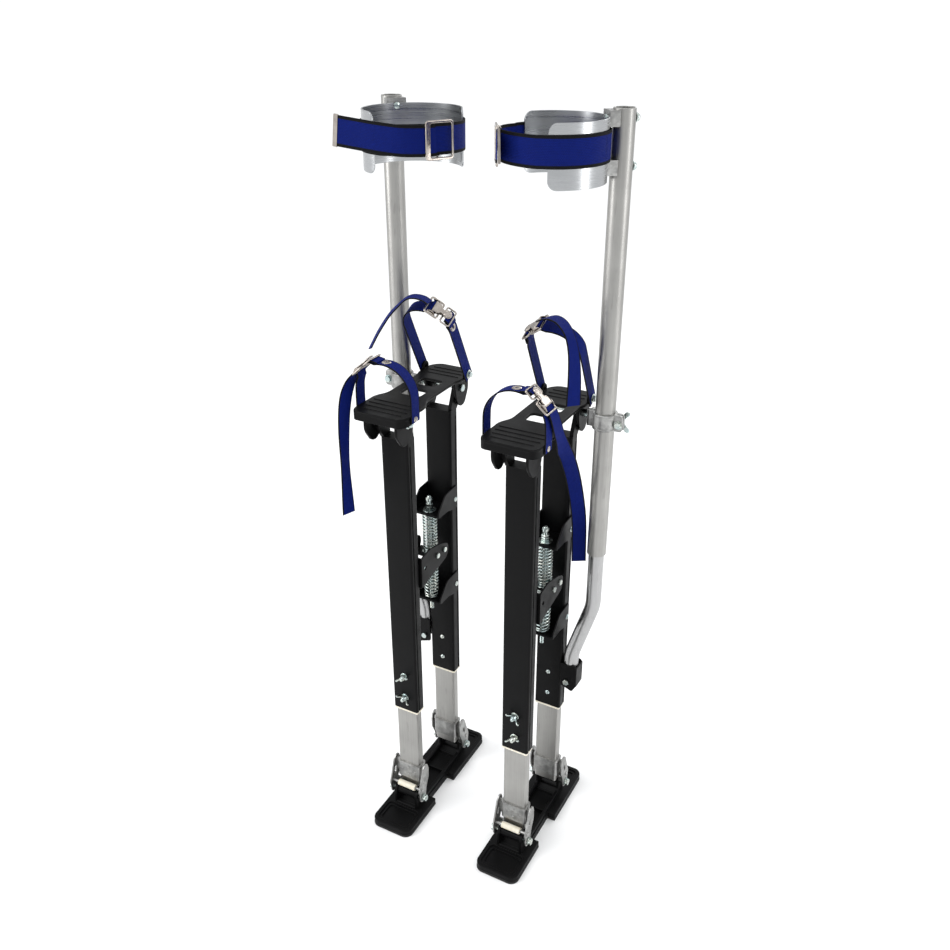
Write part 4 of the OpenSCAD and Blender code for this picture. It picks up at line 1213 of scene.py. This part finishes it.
def shoe_bolts(side):
    """The front pivot bolt, the rear one that also holds the clamp's arm, and the strap bolts."""
    front = pivot_bolt(33, -PIVOT_V, UPPER_Z, 8.4, 10.5)
    z, v, arm = UPPER_Z, PIVOT_V, 53.4
    spacer = lathe([(BOLT_R, 33.1), (7, 33.1), (7, 48.6), (BOLT_R, 48.6)], (0, v, z), OUT)
    shank = bar((-33, v, z), (arm + 8, v, z), BOLT_R)
    nut = hex_head((arm + 1.6, v, z), OUT, 7.4, 5.2, BOLT_R)
    inner = hex_head((-33, v, z), IN, 7.4, 4.8)
    flat = washer((arm, v, z), OUT, 9.5, BOLT_R, 1.6)
    straps = [instep_bolt(s) for s in ENDS]
    piece(side, "plate_bolts", "footrest", "zinc_hardware", front, spacer, shank, nut, inner,
          flat, *straps, replaces=("shoe_plate_bolts",))


def instep_bolt(s):
    """A bolt through an ear of the shoe plate and the instep strap's end."""
    def at(u):
        return (s * u, INSTEP_V, INSTEP_Z)

    way = (s, 0, 0)
    return join(bar(at(45), at(51.5), 2.95), washer(at(48.2), way, 8.2, 2.9, 1.4),
                hex_head(at(49.6), way, 5.8, 4.2), washer(at(45.05), way, 7, 2.9, 0.5))


# ---------- foot straps and buckles ----------

LOOP_X, FRAME_X = -17.0, 13.0      # the buckle's two ends along the strap


def arch_over(feet, r, rise):
    """A strap's line: its inner foot, an arch of radius r whose centre is rise up, its outer foot."""
    over = [(r * cos(radians(a)), rise + r * sin(radians(a))) for a in range(176, 2, -6)]
    return feet + over + mirrored(feet)


def toe_arch_points():
    """The toe strap's line, which stands upright."""
    feet = [(-TOE_R, 900), (-TOE_R - 0.2, 914), (-TOE_R - 0.2, 928)]
    return [Vector((u, TOE_V, z)) for u, z in arch_over(feet, TOE_R, TOE_Z)]


def instep_arch_points():
    """The instep strap's line, which leans forward."""
    rise = Vector((0, -sin(LEAN), cos(LEAN)))
    base = Vector((0, INSTEP_V, INSTEP_Z))
    feet = [(-INSTEP_R, h) for h in (-9, 0, 12, 35, 60, 85)]
    return [base + Vector((u, 0, 0)) + rise * h for u, h in arch_over(feet, INSTEP_R, INSTEP_H)]


def split_arch(points, matrix, radius):
    """The part of an arch before a buckle and the part after it, with a fold at each end."""
    end = LOOP_X - 13
    inverse = matrix.inverted()
    upper = [(i, q.x) for i, q in enumerate(inverse @ p for p in points) if q.z > -30]
    first = points[:min(i for i, x in upper if x > LOOP_X - 3)]
    last = points[min(i for i, x in upper if x > FRAME_X + 6):]
    fold_a = [matrix @ Vector(p) for p in ((LOOP_X - 1, 0, 2.4), (LOOP_X + 3.0, 0, 4.2),
                                           (LOOP_X + 2.4, 0, 6.8), (LOOP_X - 3, 0, 5.4),
                                           (end, 0, sqrt(radius ** 2 - end ** 2) - radius + 2.4))]
    fold_b = [matrix @ Vector(p) for p in ((FRAME_X + 4, 0, 2.2), (FRAME_X - 3, 0, 3.0),
                                           (FRAME_X - 5.6, 0, 4.9), (FRAME_X - 3, 0, 6.6),
                                           (FRAME_X + 4, 0, 6.4))]
    return first + fold_a, fold_b[::-1] + last


def wire_loop(matrix, length, r, x, z):
    """A closed wire loop that lies round the strap."""
    path = [matrix @ Vector((px + x, py, z)) for px, py in round_rect(length, 34, 3.2)]
    return wire(path, r, closed=True, sides=12)


def buckle(matrix):
    """A wire loop, a wire frame with a cross bar and cheeks, and the link between them."""
    loop = wire_loop(matrix, 17, 1.55, LOOP_X + 1, 4.4)
    outer = wire_loop(matrix, 24, 1.7, FRAME_X - 1, 4.6)
    cross_bar = bar(*[matrix @ Vector((FRAME_X - 6, s * 16, 4.6)) for s in ENDS], 1.6, 0.3)
    cheek = rounded([(-9, -2), (7, -2), (9, 3), (2, 6.4), (-3, 6.4)], 2)
    cheeks = [slab([cheek], 1.5, 0.4,
                   matrix @ plane((FRAME_X - 1, s * 13.4, 4.2), OUT, UP))
              for s in ENDS]
    link = slab([rounded([(-13, -6), (-4, -4), (6, -9), (9, -9), (9, 9), (6, 9), (-4, 4),
                          (-13, 6)], 3)], 1.6, 0.5, matrix @ Matrix.Translation((-2, 0, 4.2)))
    return join(loop, outer, cross_bar, *cheeks, link)


def lever(matrix):
    """The cam lever: a hinge barrel, a waisted plate and a round thumb pad with a dished face."""
    at = matrix @ Matrix.Translation((HINGE_X, 0, 0))
    pad_x = -25
    barrel = bar(*[at @ Vector((0, s * 11.5, 0)) for s in ENDS], 2.2, 0.4)
    outline = ([(1, -10.5), (1, 10.5), (-8, 10.5), (-11.5, 8), (-13, 5), (-17, 4.2)]
               + arc(pad_x, 0, 8.3, 38, 322, 18) + [(-17, -4.2), (-13, -5), (-11.5, -8), (-8, -10.5)])
    plate = slab([rounded(outline, 1.0, 2)], 1.9, 0.6, at @ Matrix.Translation((0, 0, 1.0)))
    dish = lathe([(7.0, 1.6), (6.4, 2.5), (5.4, 2.5), (4.8, 2.0), (0, 1.8)],
                 at @ Vector((pad_x, 0, 0)), at.to_3x3() @ Vector(UP), 28)
    return join(barrel, plate, dish)


def eyelet(matrix):
    """A riveted eyelet with an open middle."""
    return lathe([(2.6, 0), (2.9, 1.1), (4.4, 1.7), (6.8, 1.3), (7.9, 0.3), (7.6, 0), (2.6, 0)],
                 matrix.translation, matrix.to_3x3() @ Vector(UP))


def tail(points, turns):
    """A strap's free end: points with the angle of its width about the upright axis."""
    across = [(cos(radians(a)), sin(radians(a)), 0) for a in turns]
    return ribbon(smooth_path(points, 10), smooth_path(across, 10), FOOT_STRAP_W, WEB_T)


TOE_TAILS = {
    "right": ([(44, -100, 980.5), (49, -101, 976.0), (56, -106, 966), (62, -118, 950),
               (64, -130, 925), (63, -140, 880), (61, -146, 810), (59, -148, 722)],
              [90, 90, 92, 100, 106, 100, 88, 108]),
    "left": ([(44, -100, 980.5), (49, -98, 976.0), (56, -92, 962), (59, -82, 938),
              (58, -64, 908), (55, -42, 880), (50, -10, 848), (48, 28, 785), (48, 58, 700),
              (48, 68, 608)],
             [90, 90, 88, 86, 84, 66, 40, 28, 28, 28]),
}
INSTEP_TAILS = {
    "right": ([(-17.5, 14, 1067), (-6, 12, 1073), (10, 10, 1074.5), (24, 8, 1070), (37, 2, 1058),
               (48, -12, 1042), (56, -34, 1018), (61, -54, 994)],
              [75, 75, 74, 70, 64, 60, 58, 58]),
    "left": ([(-17.5, 14, 1067), (-6, 12, 1073), (8, 9, 1076), (24, 5, 1071), (40, -2, 1056),
              (51, -10, 1032), (57, -16, 995), (59, -20, 948)],
             [75, 75, 76, 78, 82, 74, 60, 50]),
}


def foot_straps(side):
    """Both straps with their free ends, buckles, eyelets, rivets and cam levers."""
    toe = toe_frame(TOE_BUCKLE_A)
    instep = instep_frame(INSTEP_BUCKLE_A)
    arches = [(part, BACK) for part in split_arch(toe_arch_points(), toe, TOE_R)]
    arches += [(part, (0, cos(LEAN), sin(LEAN)))
               for part in split_arch(instep_arch_points(), instep, INSTEP_R)]
    webs = [ribbon(part, [across] * len(part), FOOT_STRAP_W, WEB_T) for part, across in arches]
    webs += [tail(*TOE_TAILS[side]), tail(*INSTEP_TAILS[side])]
    piece(side, "webbing", "footrest", "blue_webbing", *webs, replaces=("foot_straps",), sharp=50)
    rivets = [eyelet(toe_frame(92, 1.0)), eyelet(instep_frame(170, 1.0))]
    rivets += [lathe([(5, 0), (4.6, 0.9), (2.6, 1.6), (0, 1.8)], (s * (TOE_R + 1), TOE_V, 905),
                     (s, 0, 0)) for s in ENDS]
    piece(side, "buckles", "footrest", "nickel_plate", buckle(toe), buckle(instep), *rivets,
          replaces=("strap_buckles",))
    piece(side, "toe_cam", "toe_lever", "nickel_plate",
          lever(toe_frame(TOE_BUCKLE_A, HINGE_LIFT)), replaces=("toe_buckle_lever",))
    piece(side, "instep_cam", "instep_lever", "nickel_plate",
          lever(instep_frame(INSTEP_BUCKLE_A, HINGE_LIFT)), replaces=("instep_buckle_lever",))


# ---------- leg band and leg strap ----------

BAND_R, BAND_T, BAND_FROM, BAND_SWEEP = 76.0, 2.5, -72.0, 222.0
BAND_Z, BAND_H, BAND_CORNER = 1329.0, 90, 13.0
MOUNT_Z = (1302.0, 1370.0)
STRAP_Z, STRAP_R, SLIDE_R = 1336.0, 80.5, 83.6


def leg_band(side):
    """A bent sheet with round corners, its brackets and their bolts."""
    r_mid = BAND_R + BAND_T / 2
    steps = 96
    length = radians(BAND_SWEEP) * r_mid
    spots = [BAND_CORNER * (1 - cos(pi / 2 * k / 8)) / length for k in range(9)]
    shares = spots + [spots[-1] + (1 - 2 * spots[-1]) * k / steps for k in range(1, steps)]
    shares += [1 - x for x in spots[::-1]]
    path, widths = [], []
    for share in shares:
        path.append(band_point(BAND_FROM + BAND_SWEEP * share, r_mid, BAND_Z))
        edge = min(share, 1 - share) * length
        half_chord = sqrt(max(BAND_CORNER ** 2 - max(BAND_CORNER - edge, 0) ** 2, 0))
        widths.append(BAND_H - 2 * (BAND_CORNER - half_chord))
    piece(side, "band_sheet", "leg_brace", "bright_aluminium",
          bent_sheet(path, widths, BAND_T), replaces=("leg_band",), sharp=50)
    softened(f"{side}_leg_band_brackets", 1.0, "zinc_steel")
    band_bolts(side)


def band_bolts(side):
    """Two bolts from inside the band through its brackets and the leg tube."""
    span = sqrt(TUBE_U ** 2 + (TUBE_V - CALF_V) ** 2)
    a = asin((TUBE_V - CALF_V) / span)
    way = Vector((cos(a), sin(a), 0))
    reach = span + TUBE_R
    bolts = []
    for z in MOUNT_Z:
        origin = Vector((0, CALF_V, z))
        bolts += [bar(origin + way * 79.0, origin + way * (reach + 2), 3),
                  washer(origin + way * (reach - 0.4), way, 7.5, 3, 1.7),
                  lathe([(6.4, 0), (6.4, 2.2), (5.2, 4.0), (2.4, 4.6), (2.0, 3.2), (0, 3.2)],
                        origin + way * (reach + 1.2), way),
                  lathe([(5.5, 0), (5.2, 0.8), (3.4, 1.6), (0, 1.9)],
                        origin + way * (BAND_R + 0.1), -way)]
    piece(side, "band_bolts", "leg_brace", "zinc_hardware", *bolts, replaces=("leg_band_bolts",))


def bent_sheet(path, heights, thick):
    """An upright sheet along a path, whose height changes and whose edges are chamfered."""
    chamfer = 0.35
    up = Vector(UP)
    b = 0.5 - chamfer / thick
    points = []
    for p, t, height in zip(path, tangents(path), heights):
        face = t.cross(up)
        e = 0.5 - chamfer / height
        for x, y in ((-e, -0.5), (e, -0.5), (0.5, -b), (0.5, b), (e, 0.5), (-e, 0.5), (-0.5, b),
                     (-0.5, -b)):
            points.append(p + up * (x * height) + face * (y * thick))
    return points, tube_faces(len(path), 8, False), None


SLIDE_A = -150      # where the slide buckle sits round the calf
LEG_TAILS = {
    "right": [(-69, -33, 1336), (-62, -52, 1336), (-34, -77, 1337), (0, -87, 1340),
              (40, -91, 1344), (76, -95, 1348)],
    "left": [(-69, -33, 1336), (-64, -52, 1337), (-54, -72, 1339), (-42, -88, 1342)],
}


def leg_strap(side):
    """The wide strap: once round the calf outside the band, with a free tail in front."""
    steps = 96
    loop = []
    for k in range(steps):
        a = 360 * k / steps
        sag = 1.2 * sin(radians(2 * a)) * (1 if 160 < a < 280 else 0)
        loop.append(band_point(a, STRAP_R + 0.3 * sin(radians(5 * a)), STRAP_Z + sag))
    band = ribbon(loop, [UP] * steps, LEG_STRAP_W, WEB_T, True)
    path = smooth_path(LEG_TAILS[side], 14)
    free = ribbon(path, [(0.02, 0.0, 1.0)] * len(path), LEG_STRAP_W, WEB_T)
    made = piece(side, "calf_webbing", "leg_brace", "blue_webbing", band, free,
                 replaces=("leg_strap",), sharp=50)
    made.data.materials.clear()
    made.data.materials.append(WIDE_WEBBING)
    tip, before = path[-1], path[-3]
    t = (tip - before).normalized()
    clasp = ribbon([tip - t * 6, tip + t * 1.2], [UP] * 2, LEG_STRAP_W + 1.6, WEB_T + 1.6)
    piece(side, "strap_tip", "leg_brace", "nickel_plate", clasp)
    slide_buckle(side)


def slide_buckle(side):
    """A flat ring over the strap and a wire bar that passes under it."""
    at = plane(band_point(SLIDE_A, SLIDE_R, STRAP_Z), band_tangent(SLIDE_A), UP)
    ring = slab([round_rect(48, 57, 6), round_rect(36, 48, 3, -2.5)], 3.6, 1.4, at)
    under = [(2, -26, 0), (2, -25.4, -3), (2, -23, -5.2), (2, 23, -5.2), (2, 25.4, -3), (2, 26, 0)]
    mid = wire([at @ Vector(p) for p in under], 1.7)
    piece(side, "slide_buckle", "leg_brace", "nickel_plate", ring, mid,
          replaces=("leg_strap_buckle",))


rubber_soles()
floor_bolts()
for side in SIDES:
    floor_plate(side)
    for rear in (False, True):
        lower_leg(side, rear)
        strut(side, rear)
    wing_bolts(side)
    spring_lever(side)
    strut_brackets(side)
    spring_rod(side)
    springs(side)
    leg_tube(side)
    tube_clamp(side)
    shoe_plate(side)
    shoe_bolts(side)
    foot_straps(side)
    leg_band(side)
    leg_strap(side)

# ---------- stage ----------


FLOOR_REACH = 600.0
HORIZON, ZENITH = 0.55, 1.12      # the studio's brightness


def floor():
    """A pale matt floor that reaches far beyond the picture."""
    r = FLOOR_REACH
    mesh = bpy.data.meshes.new("floor")
    mesh.from_pydata([(-r, -r, 0), (r, -r, 0), (r, r, 0), (-r, r, 0)], [], [(0, 1, 2, 3)])
    g = Graph("floor")
    g.set(Base_Color=(0.9, 0.9, 0.9, 1), Roughness=0.9, Specular_IOR_Level=0.0)
    mesh.materials.append(g.material)
    linked("floor", mesh)


def softbox(name, where, target, size, power):
    """A rectangular lamp that faces target."""
    data = bpy.data.lights.new(name, "AREA")
    data.shape = "RECTANGLE"
    data.size, data.size_y = size
    data.energy = power
    made = linked(name, data)
    made.location = where
    made.rotation_euler = (Vector(target) - Vector(where)).to_track_quat("-Z", "Y").to_euler()


def world():
    """A studio that is bright above and dimmer at the horizon, with a white backdrop."""
    made = bpy.data.worlds.new("studio")
    made.use_nodes = True
    tree = made.node_tree
    where = tree.nodes.new("ShaderNodeTexCoord").outputs["Generated"]
    split = tree.nodes.new("ShaderNodeSeparateXYZ")
    ramp = tree.nodes.new("ShaderNodeMapRange")
    ramp.inputs["To Min"].default_value = HORIZON
    ramp.inputs["To Max"].default_value = ZENITH
    ramp.inputs["From Max"].default_value = 0.8
    tree.links.new(where, split.inputs[0])
    tree.links.new(split.outputs["Z"], ramp.inputs["Value"])
    seen = tree.nodes.new("ShaderNodeMix")
    seen.inputs[3].default_value = ZENITH
    tree.links.new(tree.nodes.new("ShaderNodeLightPath").outputs["Is Camera Ray"], seen.inputs[0])
    tree.links.new(ramp.outputs[0], seen.inputs[2])
    tree.links.new(seen.outputs[0], tree.nodes["Background"].inputs["Strength"])
    tree.nodes["Background"].inputs["Color"].default_value = (0.98, 0.99, 1.0, 1)
    bpy.context.scene.world = made
    bpy.context.scene.view_settings.view_transform = "Standard"


def sun(name, where, strength, spread):
    """A far, soft light that comes from the direction of where."""
    data = bpy.data.lights.new(name, "SUN")
    data.energy = strength
    data.angle = radians(spread)
    linked(name, data).rotation_euler = Vector(where).to_track_quat("Z", "Y").to_euler()


def camera():
    """The photograph's viewpoint."""
    data = bpy.data.cameras.new("camera")
    data.sensor_width = 36.0
    data.lens = 36.26
    data.clip_end = 200.0
    made = linked("camera", data)
    azimuth, pitch, roll = radians(28.58), radians(26.97), radians(0.165)
    made.matrix_world = (Matrix.Translation((0.711, -1.322, 1.537))
                         @ Matrix.Rotation(azimuth, 4, "Z") @ Matrix.Rotation(pi / 2 - pitch, 4, "X")
                         @ Matrix.Rotation(-roll, 4, "Z"))
    bpy.context.scene.camera = made


floor()
world()
camera()
sun("key", (-0.5, -0.7, 1.0), 0.8, 30)
softbox("left", (-2.2, -1.6, 1.5), (0, 0, 0.7), (0.9, 2.2), 34)
softbox("right", (2.6, 0.2, 1.4), (0, 0, 0.7), (0.7, 2.2), 22)
softbox("back", (0.4, 2.6, 2.2), (0, 0, 0.8), (2.0, 1.2), 24)
